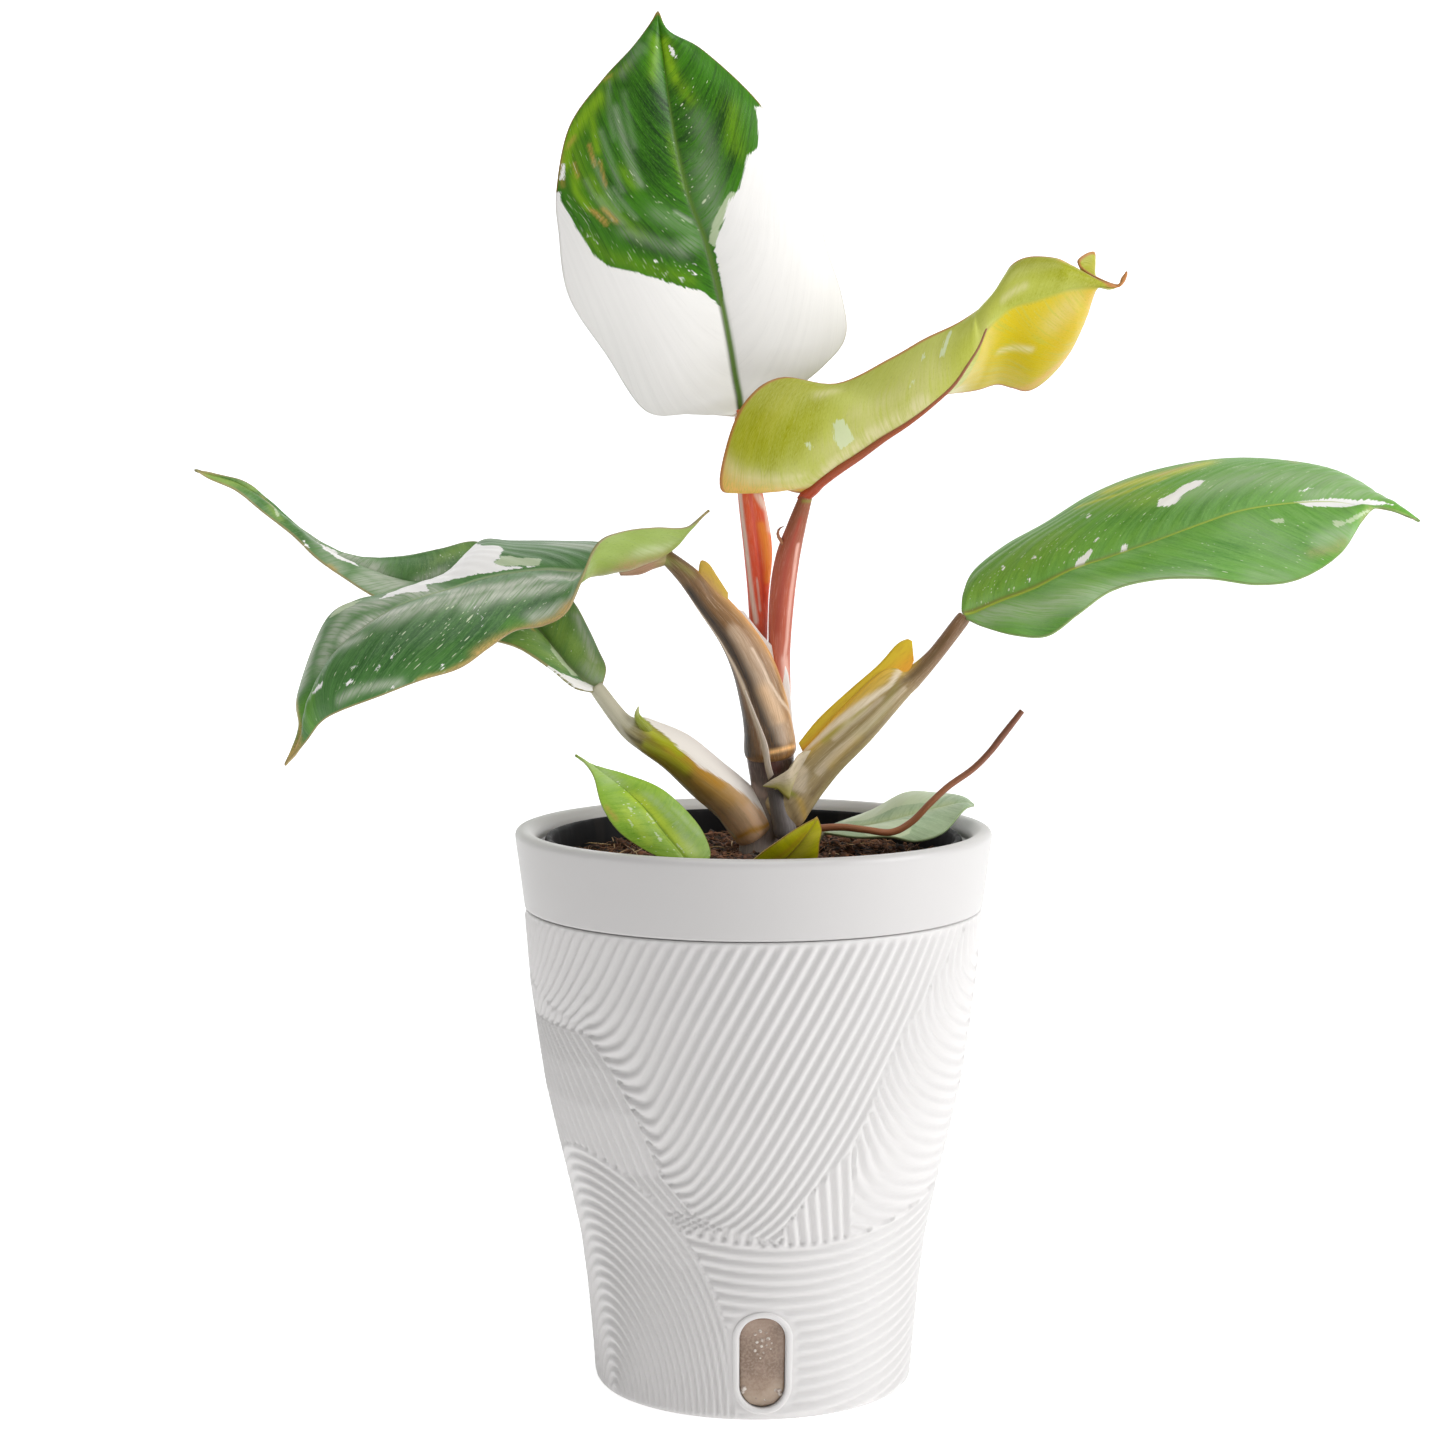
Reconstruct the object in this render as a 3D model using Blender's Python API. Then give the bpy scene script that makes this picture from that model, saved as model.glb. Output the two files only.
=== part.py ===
"""A potted philodendron with white-and-green leaves in a two-part self-watering planter.

Metres, +Z up. The origin is at the middle of the planter's flat base, and the front is towards -Y.
Turns round the planter are in degrees, counted from the front towards +X.
"""

import math

import bmesh
import bpy
import numpy as np
from mathutils import Matrix, Vector

MM = 0.001
GAP = 0.3 * MM
CLOSE = 0.1 * MM
SHARP_ANGLE = 40

# Planter: outer shell
BASE_RADIUS = 43.1 * MM
SEAM_HEIGHT = 131.3 * MM
WALL = 2.4 * MM
FLOOR = 2.5 * MM
NECK_OUTER = 60.6 * MM
NECK_INNER = 58.9 * MM
NECK_HEIGHT = 148.2 * MM
SHELL_SEGMENTS = 84
# Height and radius of the shell's outer side in mm, from the base up: an ogee.
SHELL_OUTLINE = (
    (0, 43.1), (13, 44.0), (27, 45.3), (41, 47.1), (55, 50.1), (69, 53.4),
    (83, 56.6), (97, 58.7), (111, 60.6), (131.3, 62.2),
)
SHELL_ROWS = 31

# Raked relief on the shell
RIDGE_PITCH = 16.0 * MM
RIDGE_HEIGHT = 1.3 * MM
RELIEF_TURN = 180.0
PLAIN_EDGE = 3.0 * MM
FAN_REACH = 70.5
# The swept field's left and right borders: turns in degrees, then heights in mm.
LEFT_BORDER = np.array(((8, -18, -27, -33, -39, -47, -82), (49.5, 57, 66.5, 83, 94, 103.5, 113)))
RIGHT_BORDER = np.array(((8.5, 17, 26, 31, 35, 39, 44, 52, 66), (53, 63, 73.4, 82, 92, 101, 109, 119, 131)))

# Water window
WINDOW_TURN = 2.7
WINDOW_WIDTH = 12.2 * MM
WINDOW_HEIGHT = 25.2 * MM
WINDOW_CENTRE = 16.0 * MM
BEAD_WIDTH = 1.7 * MM
BEAD_PROUD = 0.7 * MM
BEAD_ROOT = 1.5 * MM
SLOT_REACH = (6.0 * MM, 3.0 * MM)
END_STEPS = 8
PANE_INSET = 0.7 * MM
PANE_THICKNESS = 1.2 * MM
PANE_HALF_TURN = 12
PANE_STEPS = 8

# Planter: grow liner with its smooth collar
RIM_HEIGHT = 152.9 * MM
RIM_RADIUS = 65.2 * MM
COLLAR_BASE_RADIUS = 62.6 * MM
COLLAR_BORE = 61.3 * MM
COLLAR_ROOF = 148.5 * MM
LINER_FLOOR = (38.0 * MM, 40.0 * MM)
LINER_SEGMENTS = 36

# Nursery pot and soil
NURSERY_SEGMENTS = 32
SOIL_SEGMENTS = 28
SOIL_FLOOR = 42.2 * MM
SOIL_HEIGHT = 145.6 * MM
SOIL_RADIUS = 53.1 * MM
SOIL_LUMP = 0.7 * MM
SOIL_DROP = 1.6 * MM

# Wick between the reservoir and the soil
WICK_RADIUS = 3.0 * MM
WICK_TOP = 60.0 * MM
WICK_SEGMENTS = 16

# Plant
BLADE_THICKNESS = 0.8 * MM
BLADE_STRIPS = 4
MOST_BOW = 0.33
STALK_SIDES = 12
WING_SPREAD = 0.42
ROOM_GAP = 1.3 * GAP
ROOM_OVERRUN = 3.0 * MM
ROOT_SIDES = 8


def clear_scene():
    for obj in list(bpy.data.objects):
        bpy.data.objects.remove(obj, do_unlink=True)


def material(name, colour, roughness):
    made = bpy.data.materials.new(name)
    made.use_nodes = True
    shader = made.node_tree.nodes["Principled BSDF"]
    shader.inputs["Base Color"].default_value = (*colour, 1.0)
    shader.inputs["Roughness"].default_value = roughness
    return made


def add_object(name, bm, finish):
    bmesh.ops.recalc_face_normals(bm, faces=bm.faces[:])
    mesh = bpy.data.meshes.new(name)
    bm.to_mesh(mesh)
    bm.free()
    mesh.shade_smooth()
    mesh.set_sharp_from_angle(angle=math.radians(SHARP_ANGLE))
    obj = bpy.data.objects.new(name, mesh)
    obj.data.materials.append(finish)
    bpy.context.collection.objects.link(obj)
    return obj


def make_cutter(obj):
    obj.hide_render = True
    obj.display_type = "WIRE"
    return obj


def boolean(target, other, operation="DIFFERENCE"):
    modifier = target.modifiers.new(operation.title(), "BOOLEAN")
    modifier.operation = operation
    modifier.object = other


def turned(name, outline, segments, finish):
    """A closed solid turned round +Z from an outline of (radius, height) that starts and ends on the axis."""
    bm = bmesh.new()
    points = [bm.verts.new((radius, 0, height)) for radius, height in outline]
    edges = [bm.edges.new(pair) for pair in zip(points, points[1:])]
    bmesh.ops.spin(
        bm, geom=points + edges, cent=(0, 0, 0), axis=(0, 0, 1), angle=math.tau, steps=segments,
        use_merge=True,
    )
    bmesh.ops.remove_doubles(bm, verts=bm.verts[:], dist=0.00001)
    return add_object(name, bm, finish)


def loft(rows, wrap):
    """A mesh through rows of points; a wrapped one is a tube with both ends closed."""
    across = len(rows[0])
    bm = bmesh.new()
    bmesh.ops.create_grid(bm, x_segments=across - 1, y_segments=len(rows) - 1, size=1)
    bm.verts.ensure_lookup_table()
    order = sorted(bm.verts, key=lambda vert: (round(vert.co.y, 4), vert.co.x))
    for vert, point in zip(order, (point for row in rows for point in row)):
        vert.co = point
    bmesh.ops.remove_doubles(bm, verts=bm.verts[:], dist=0.00002)
    if wrap:
        bmesh.ops.holes_fill(bm, edges=bm.edges[:], sides=0)
    bmesh.ops.triangulate(bm, faces=bm.faces[:], quad_method="FIXED")
    return bm


def smooth_through(points, count):
    """Evenly stepped points along a Catmull-Rom curve through the given ones."""
    points = np.asarray(points, float)
    ends = np.concatenate([[2 * points[0] - points[1]], points, [2 * points[-1] - points[-2]]])
    steps = np.linspace(0, len(points) - 1, count)
    made = []
    for step in steps:
        first = min(int(step), len(points) - 2)
        t = step - first
        a, b, c, d = ends[first : first + 4]
        made.append(
            0.5 * (2 * b + (c - a) * t + (2 * a - 5 * b + 4 * c - d) * t**2
                   + (3 * b - a - 3 * c + d) * t**3)
        )
    return np.array(made)


def shell_radius(height):
    heights, radii = np.array(SHELL_OUTLINE).T * MM
    return float(np.interp(height, heights, radii))


def raked_phase(turn, height):
    """Distance in mm across the raked ridges at a turn in degrees and a height in mm."""
    turn = (turn + 92) % RELIEF_TURN - 92
    left_of_sweep = np.interp(height, LEFT_BORDER[1], LEFT_BORDER[0])
    right_of_sweep = np.interp(height, RIGHT_BORDER[1], RIGHT_BORDER[0])
    smile = 48.5 + 5 * (1 - math.cos(math.radians(2 * (turn - 12))))
    fan = math.hypot((turn + 60) * 1.3, height)
    if left_of_sweep < turn < right_of_sweep and height > smile:
        above = height - np.interp(-turn, -LEFT_BORDER[0], LEFT_BORDER[1])
        return 0.85 * (turn + 0.5 * (131 - height) + 9 * math.exp(-max(above, 0) / 10))
    if turn >= right_of_sweep and height > smile:
        return height + 22 * (1 - math.exp(-(turn - right_of_sweep) / 19))
    if fan < FAN_REACH:
        return fan
    if height < smile and turn > -30:
        return height - smile
    return 0.9 * (left_of_sweep - turn)


def window_clearance(turn, height):
    """How far in metres a point on the shell lies outside the window's stadium."""
    aside = math.radians((turn - WINDOW_TURN + 180) % 360 - 180) * BASE_RADIUS
    reach = WINDOW_HEIGHT / 2 - WINDOW_WIDTH / 2
    above = max(abs(height - WINDOW_CENTRE) - reach, 0)
    return math.hypot(aside, above) - WINDOW_WIDTH / 2


def ridge_height(turn, height):
    edge = min(height, SEAM_HEIGHT - height, window_clearance(turn, height) - BEAD_WIDTH)
    fade = min(max(edge / PLAIN_EDGE, 0), 1)
    phase = raked_phase(turn, height / MM) * MM
    return RIDGE_HEIGHT / 2 * fade * math.cos(math.tau * phase / RIDGE_PITCH)


def stadium(name, width, height, depth_from, depth_to, finish):
    """A prism with a stadium outline that points out of the shell through the window."""
    bm = bmesh.new()
    radius = width / 2
    reach = height / 2 - radius
    outline = []
    for side, middle in ((1, reach), (-1, -reach)):
        for step in range(END_STEPS + 1):
            angle = math.pi * step / END_STEPS + (0 if side > 0 else math.pi)
            outline.append((radius * math.cos(angle), depth_from, middle + radius * math.sin(angle)))
    face = bm.faces.new([bm.verts.new(point) for point in outline])
    pushed = bmesh.ops.extrude_face_region(bm, geom=[face])["geom"]
    moved = [item for item in pushed if isinstance(item, bmesh.types.BMVert)]
    bmesh.ops.translate(bm, verts=moved, vec=(0, depth_to - depth_from, 0))
    turn = Matrix.Rotation(math.radians(WINDOW_TURN), 4, "Z")
    bmesh.ops.transform(bm, matrix=turn @ Matrix.Translation((0, 0, WINDOW_CENTRE)), verts=bm.verts[:])
    return add_object(name, bm, finish)


def make_outer_shell():
    finish = material("textured white plastic", (0.84, 0.83, 0.82), 0.45)
    outline = [(0, 0)]
    for row in range(SHELL_ROWS):
        height = SEAM_HEIGHT * row / (SHELL_ROWS - 1)
        outline.append((shell_radius(height), height))
    outline += [(NECK_OUTER, SEAM_HEIGHT), (NECK_OUTER, NECK_HEIGHT), (NECK_INNER, NECK_HEIGHT)]
    for height in (111 * MM, 69 * MM, 41 * MM):
        outline.append((shell_radius(height) - WALL, height))
    outline += [(BASE_RADIUS - WALL, FLOOR), (0, FLOOR)]
    shell = turned("outer_shell", outline, SHELL_SEGMENTS, finish)
    for vert in shell.data.vertices:
        across = math.hypot(vert.co.x, vert.co.y)
        on_outside = across > shell_radius(vert.co.z) - CLOSE
        if on_outside and 0 < vert.co.z < SEAM_HEIGHT - CLOSE:
            turn = math.degrees(math.atan2(vert.co.x, -vert.co.y))
            grown = 1 + ridge_height(turn, vert.co.z) / across
            vert.co.x *= grown
            vert.co.y *= grown
    front = shell_radius(WINDOW_CENTRE)
    bead = make_cutter(
        stadium(
            "window_bead", WINDOW_WIDTH + 2 * BEAD_WIDTH, WINDOW_HEIGHT + 2 * BEAD_WIDTH,
            -front + BEAD_ROOT, -front - BEAD_PROUD, finish,
        )
    )
    inside, outside = SLOT_REACH
    slot = make_cutter(
        stadium("window_slot", WINDOW_WIDTH, WINDOW_HEIGHT, -front + inside, -front - outside, finish)
    )
    boolean(shell, bead, "UNION")
    boolean(shell, slot)


def make_level_window():
    finish = material("smoked clear plastic", (0.45, 0.36, 0.29), 0.15)
    outer = [
        (shell_radius(height) - PANE_INSET, height)
        for height in (2 * MM, 8 * MM, 13 * MM, 20 * MM, 27 * MM, 31 * MM)
    ]
    inner = [(radius - PANE_THICKNESS, height) for radius, height in reversed(outer)]
    bm = bmesh.new()
    points = [bm.verts.new((0, -radius, height)) for radius, height in outer + inner]
    face = bm.faces.new(points)
    half = math.radians(PANE_HALF_TURN)
    middle = math.radians(WINDOW_TURN)
    bmesh.ops.rotate(bm, verts=points, cent=(0, 0, 0), matrix=Matrix.Rotation(middle - half, 3, "Z"))
    bmesh.ops.spin(
        bm, geom=[face], cent=(0, 0, 0), axis=(0, 0, 1), angle=2 * half, steps=PANE_STEPS,
    )
    pane = add_object("level_window", bm, finish)
    front = shell_radius(WINDOW_CENTRE)
    inside, outside = SLOT_REACH
    outline = stadium(
        "window_outline", WINDOW_WIDTH - 2 * GAP, WINDOW_HEIGHT - 2 * GAP,
        -front + inside, -front - outside, finish,
    )
    boolean(pane, make_cutter(outline), "INTERSECT")


def make_grow_liner():
    finish = material("smooth white plastic", (0.85, 0.84, 0.83), 0.35)
    lip = [
        (RIM_RADIUS - 0.2 * MM, RIM_HEIGHT - 2.2 * MM),
        (RIM_RADIUS - 0.6 * MM, RIM_HEIGHT - 0.8 * MM),
        (RIM_RADIUS - 1.9 * MM, RIM_HEIGHT),
        (RIM_RADIUS - 3.6 * MM, RIM_HEIGHT - 0.2 * MM),
        (RIM_RADIUS - 5.0 * MM, RIM_HEIGHT - 1.4 * MM),
        (RIM_RADIUS - 7.6 * MM, RIM_HEIGHT - 4.9 * MM),
    ]
    wall = [(56.8, 131), (54.9, 105), (51.2, 83), (46.0, 60), (41.0, 40)]
    back = [(42.4, 38), (47.7, 60), (52.9, 83), (56.6, 105), (58.4, 131), (58.5, 148.5)]
    hole = WICK_RADIUS + GAP
    outline = [(hole, LINER_FLOOR[1]), (hole, LINER_FLOOR[0])]
    outline += [(radius * MM, height * MM) for radius, height in back]
    outline += [(COLLAR_BORE, COLLAR_ROOF), (COLLAR_BORE, SEAM_HEIGHT + GAP)]
    outline += [(COLLAR_BASE_RADIUS, SEAM_HEIGHT + GAP)] + lip
    outline += [(radius * MM, height * MM) for radius, height in wall]
    outline.append((hole, LINER_FLOOR[1]))
    turned("grow_liner", outline, LINER_SEGMENTS, finish)


def make_nursery_pot():
    finish = material("thin black plastic", (0.015, 0.015, 0.016), 0.5)
    hole = WICK_RADIUS + GAP
    outline = [
        (hole, 41.8), (hole, 40.3), (39.6, 40.3), (44.4, 60), (52.0, 105), (55.5, 147),
        (56.7, 147.2), (56.9, 149.8), (56.2, 150.4), (55.1, 150.2),
        (54.2, 147), (50.7, 105), (43.1, 60), (38.6, 41.8), (hole, 41.8),
    ]
    outline = [
        (radius if radius == hole else radius * MM, height * MM) for radius, height in outline
    ]
    turned("nursery_pot", outline, NURSERY_SEGMENTS, finish)


def make_potting_mix(stands):
    """Soil that fills the nursery pot, with a pit below for the wick and a hole for each thing in stands."""
    finish = material("potting mix", (0.05, 0.032, 0.022), 0.95)
    pit = WICK_RADIUS + GAP
    outline = [(0, WICK_TOP + GAP), (pit, WICK_TOP + GAP), (pit, SOIL_FLOOR)]
    for radius, height in ((38.2, 42.2), (42.7, 60), (50.1, 105), (53.1, 142.8)):
        outline.append((radius * MM, height * MM))
    for share in (0.94, 0.8, 0.62, 0.42, 0.22):
        outline.append((SOIL_RADIUS * share, SOIL_HEIGHT))
    outline.append((0, SOIL_HEIGHT))
    soil = turned("potting_mix", outline, SOIL_SEGMENTS, finish)
    for vert in soil.data.vertices:
        if vert.co.z > SOIL_HEIGHT - CLOSE:
            across = math.hypot(vert.co.x, vert.co.y)
            broad = math.sin(vert.co.x * 310 + 1) * math.cos(vert.co.y * 270)
            fine = 0.6 * math.sin((vert.co.x - vert.co.y) * 730)
            vert.co.z += SOIL_LUMP * (broad + fine - 0.4) - SOIL_DROP * (across / SOIL_RADIUS) ** 2
    for stand in stands:
        boolean(soil, stand)


def make_wick():
    finish = material("cotton wick", (0.8, 0.76, 0.68), 0.9)
    low = FLOOR + GAP
    outline = [(0, low), (WICK_RADIUS, low), (WICK_RADIUS, WICK_TOP), (0, WICK_TOP)]
    turned("wick", outline, WICK_SEGMENTS, finish)


def tube_rows(path, radii, wing, wing_side, grow, sides, count):
    """Rings of points round a smooth path; a wing stands out of one side by its own height."""
    spine = smooth_through(np.array(path) * MM, count)
    radius = smooth_through(np.array(radii)[:, None] * MM, count)[:, 0] + grow
    fin = np.maximum(smooth_through(np.array(wing)[:, None] * MM, count)[:, 0], 0)
    along = np.gradient(spine, axis=0)
    rows = []
    for centre, step, size, proud in zip(spine, along, radius, fin):
        ahead = Vector(step).normalized()
        back = Vector((0, 1, 0))
        back = (back - ahead * back.dot(ahead)).normalized()
        side = ahead.cross(back) * wing_side
        row = []
        for index in range(sides + 1):
            angle = math.tau * index / sides
            off_wing = (angle - math.pi / 2 + math.pi) % math.tau - math.pi
            reach = size + proud * math.exp(-((off_wing / WING_SPREAD) ** 2))
            row.append(Vector(centre) + (back * math.cos(angle) + side * math.sin(angle)) * reach)
        rows.append(row)
    return rows


def stalk(name, path, radii, finish, wing=(0, 0), wing_side=1, count=12, sides=STALK_SIDES):
    """A closed round stalk along a path; its wing is a sheath's free edge."""
    rows = tube_rows(path, radii, wing, wing_side, 0, sides, count)
    return add_object(name, loft(rows, wrap=True), finish)


def clearance(name, path, radii, finish, wing=(0, 0), wing_side=1, count=12):
    """The space that a stalk keeps free round itself, a little longer than it at both ends."""
    rows = tube_rows(path, radii, wing, wing_side, ROOM_GAP, STALK_SIDES, count)
    centres = [sum(row[:-1], Vector()) / STALK_SIDES for row in rows]
    before = (centres[0] - centres[1]).normalized() * ROOM_OVERRUN
    after = (centres[-1] - centres[-2]).normalized() * ROOM_OVERRUN
    rows = [[point + before for point in rows[0]]] + rows + [[point + after for point in rows[-1]]]
    return make_cutter(add_object(name, loft(rows, wrap=True), finish))


# Stem and stalks: centre lines in mm from the lowest point up, with the radius at each point.
STEM_PATH = ((1, 0, 128), (1.5, 0, 149.5), (4.6, 0, 157), (4.9, 0, 164.5), (4.6, 0, 172.3))
STEM_RADII = (5.0, 5.2, 4.8, 5.6, 6.4)
PETIOLE_1_PATH = (
    (0.5, 3, 173.4), (1.2, 3.5, 187), (1.4, 4, 201), (0.8, 4.2, 214.5), (-0.5, 4.2, 228),
    (-2, 5, 242), (-2.8, 6.5, 254), (-3.4, 8, 264.5),
)
PETIOLE_1_RADII = (2.3, 2.3, 2.4, 2.3, 2.2, 2.2, 2.0, 1.8)
PETIOLE_1_WING = (0, 0, 0, 1.0, 3.4, 2.6, 0, 0)
PETIOLE_2_PATH = (
    (6.6, 1, 173.4), (7.2, 1, 187.5), (7.0, 0.5, 201), (7.6, -1, 215), (9, -4, 226), (11.5, -7, 235.5),
    (13.8, -8, 242.8),
)
PETIOLE_2_RADII = (2.7, 2.9, 3.0, 3.4, 3.3, 2.5, 1.8)
PETIOLE_3_PATH = (
    (8, -2.6, 157.4), (11, -3, 161.5), (15, -3, 166.2), (20.6, -3, 172.2), (29.3, -3, 180),
    (39.4, -2.5, 190.3), (43.3, -2, 193.6), (49.2, -1.5, 200.1), (56.3, -1, 209.3),
)
PETIOLE_3_RADII = (6.1, 6.0, 5.4, 4.8, 4.0, 3.0, 2.5, 2.1, 2.0)
PETIOLE_3_WING = (0, 0.3, 1.0, 1.8, 3.8, 4.4, 1.2, 0, 0)
PETIOLE_4_PATH = (
    (4.6, -0.8, 173.4), (3.8, -1.5, 180), (2.3, -2.5, 186.7), (-1, -3, 196.6), (-5.3, -3, 205),
    (-12.3, -3, 213.7), (-17.8, -3, 221.3), (-24.2, -2.3, 227.2),
)
PETIOLE_4_RADII = (7.0, 6.5, 5.9, 4.9, 4.2, 3.1, 2.8, 1.9)
PETIOLE_4_WING = (0, 0, 0, 0, 0.3, 1.8, 0.3, 0)
PETIOLE_5_PATH = (
    (0.6, 0, 152.2), (-5.3, -1, 159.8), (-12.7, -2, 166.2), (-20.8, -2, 173), (-28.2, -2, 176.9),
    (-32.5, -2, 178.9), (-36, -1.5, 182), (-42.1, -0.3, 190.1),
)
PETIOLE_5_RADII = (6.4, 6.2, 6.0, 5.3, 4.1, 3.0, 2.4, 2.1)
PETIOLE_5_WING = (0, 0.2, 0.4, 0.9, 1.4, 2.0, 0.3, 0)
ROOT_PATH = (
    (8, -2.3, 151.8), (11.5, -4.8, 152), (16, -7.2, 153.2), (23.5, -9.5, 154), (30, -11, 153.5),
    (37, -11, 152.8), (42.5, -10.5, 155.5), (47.5, -10, 160.5), (52.5, -9, 165), (59, -8, 169.5),
    (63.5, -8, 174), (67, -8, 178.5), (72, -8, 185),
)
ROOT_RADII = (1.2, 1.1, 1.0, 1.0, 0.95, 0.95, 0.95, 0.9, 0.9, 0.9, 0.9, 0.95, 0.8)
SMALL_STALKS = {
    "petiole_6": (((-14, -32, 134), (-15.5, -34, 140), (-17.4, -35.5, 146.2)), (1.6, 1.4, 1.2)),
    "petiole_7": (((3, -38, 134), (4, -42, 140), (4.8, -44.4, 146.1)), (1.5, 1.3, 1.1)),
    "petiole_8": (((14, 4, 140), (15.5, 2.5, 146), (18.4, 1.2, 150.6)), (1.6, 1.4, 1.1)),
}

# Leaf blades: cross-ribs from the stalk to the tip, in mm. Each rib is left edge, midrib and right edge,
# as they lie for someone who looks at one face of the blade with its tip upwards.
LEAF_1 = (
    ((-5.5, 6, 264.5), (-3.5, 8, 266), (-0.5, 6, 265.5)),
    ((-17.5, 7, 265), (-4, 8, 270), (8.5, 6, 270)),
    ((-29.5, 9, 266), (-5, 9, 275), (19, 8, 278)),
    ((-40, 11, 281), (-6.5, 9, 284), (25, 11, 286)),
    ((-50.3, 12, 297), (-9, 9, 296.5), (24, 13, 297)),
    ((-53, 13, 314.5), (-13, 10, 311.5), (20, 14, 309.5)),
    ((-53.5, 14, 325.5), (-17.5, 11, 323.5), (17, 15, 321.5)),
    ((-50, 15, 342.5), (-21, 12, 338), (10.3, 16, 335)),
    ((-41, 15, 355), (-23, 13, 349.5), (0.9, 16, 349.5)),
    ((-33, 15, 363.5), (-24.5, 14, 361), (-13.8, 16, 363)),
    ((-28, 15, 370), (-25.5, 15, 369.5), (-23, 15, 368)),
    ((-26, 15, 373.5), (-26, 15, 373.5), (-26, 15, 373.5)),
)
LEAF_2 = (
    ((15.5, -6, 245), (14, -8, 244), (11, -8, 244.5)),
    ((16, 0, 248.5), (16, -9, 245.5), (1, -10, 247)),
    ((17.5, 7, 252), (18, -10, 247.5), (-8.7, -13, 245)),
    ((20.5, 11, 258), (22.5, -12, 250.8), (-7.3, -13, 257)),
    ((25.5, 13, 265), (28, -13, 254.3), (-2.2, -10, 268.5)),
    ((31.5, 14, 268.2), (34.5, -14, 258.8), (7, -6, 274.6)),
    ((36, 14, 268.2), (40.5, -14, 262.5), (22, -5.5, 273)),
    ((41.5, 14, 269.2), (46.6, -13.5, 267), (36.3, -7, 279.7)),
    ((48.4, 14, 269.6), (52.8, -12.5, 272.6), (45.6, -7, 285)),
    ((53.9, 14.5, 270.7), (56.7, -12, 278.2), (53.9, -6, 288.8)),
    ((58.3, 15, 271.2), (59.7, -11, 283), (59.8, -5, 292.5)),
    ((61.8, 15, 271.8), (61.6, -10, 287.4), (63.6, -4, 295.5)),
    ((66.8, 16, 273.2), (64.3, -9.2, 290.4), (66.6, -3, 300)),
    ((71, 16.5, 272.3), (68.6, -8.5, 293.8), (69, -2.5, 304.5)),
    ((75.6, 17, 271.5), (74.8, -7.5, 295.6), (73.6, -2, 306.7)),
    ((80.9, 17, 274.9), (81.8, -6.4, 297.9), (80.5, -2.5, 306.4)),
    ((86.3, 16.5, 281.6), (85, -5.8, 298.6), (84.6, -3, 304.6)),
    ((89.6, 14.5, 291), (88.8, -5.1, 299), (88.7, -3.2, 302.3)),
    ((91.8, 10, 302.5), (91.2, -4.7, 299.1), (91.2, -3.5, 301)),
    ((91.9, 7, 308.6), (92.8, -4.4, 299.1), (92.7, -3.5, 300.3)),
    ((87.4, 3, 306.4), (94.2, -4, 299), (94, -3.5, 299.8)),
    ((89.5, 1, 303.2), (95.5, -3.7, 298.9), (95.4, -3.4, 299.5)),
    ((97, -3, 299.4), (97.4, -3, 299.2), (97.6, -3.1, 299.2)),
    ((98.6, -2.6, 301.3), (99.1, -2.5, 301.1), (99.4, -2.4, 300.9)),
    ((99.8, -2, 303), (99.8, -2, 303), (99.8, -2, 303)),
)
LEAF_3 = (
    ((56.5, 0, 211.5), (56.8, -1, 210.9), (57.5, -3, 210)),
    ((57.5, 6, 216.5), (60, 0, 211.5), (62.5, -7, 207.8)),
    ((61, 14, 222), (67, 0, 214.5), (69.5, -15, 206.4)),
    ((70, 21, 228.5), (76, -1, 218), (78, -19, 206.6)),
    ((81.5, 26, 234.5), (86, -2, 223), (86, -20, 212.5)),
    ((94, 29, 242), (96.5, -3, 226.5), (95, -18, 218.5)),
    ((107, 29, 247.5), (107.5, -4, 230.5), (106, -20, 221.5)),
    ((121, 28, 251), (119, -5, 235), (119.5, -23, 222)),
    ((134, 25, 252.5), (130.5, -6, 239), (132.5, -25, 220.5)),
    ((146.5, 20, 252), (143, -7, 241), (143.5, -25, 222)),
    ((157, 13, 250), (154, -8, 241.5), (154.5, -21, 228)),
    ((165, 5, 246), (161, -9, 240.6), (161.5, -14.5, 236.6)),
    ((168.5, 0, 243.2), (165.5, -9, 240.4), (166, -9.8, 239.9)),
    ((172.5, -4, 240.9), (171.5, -8.8, 239.4), (171.5, -9, 239.1)),
    ((178.5, -8, 236.5), (178.5, -8, 236.5), (178.5, -8, 236.5)),
)
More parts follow.
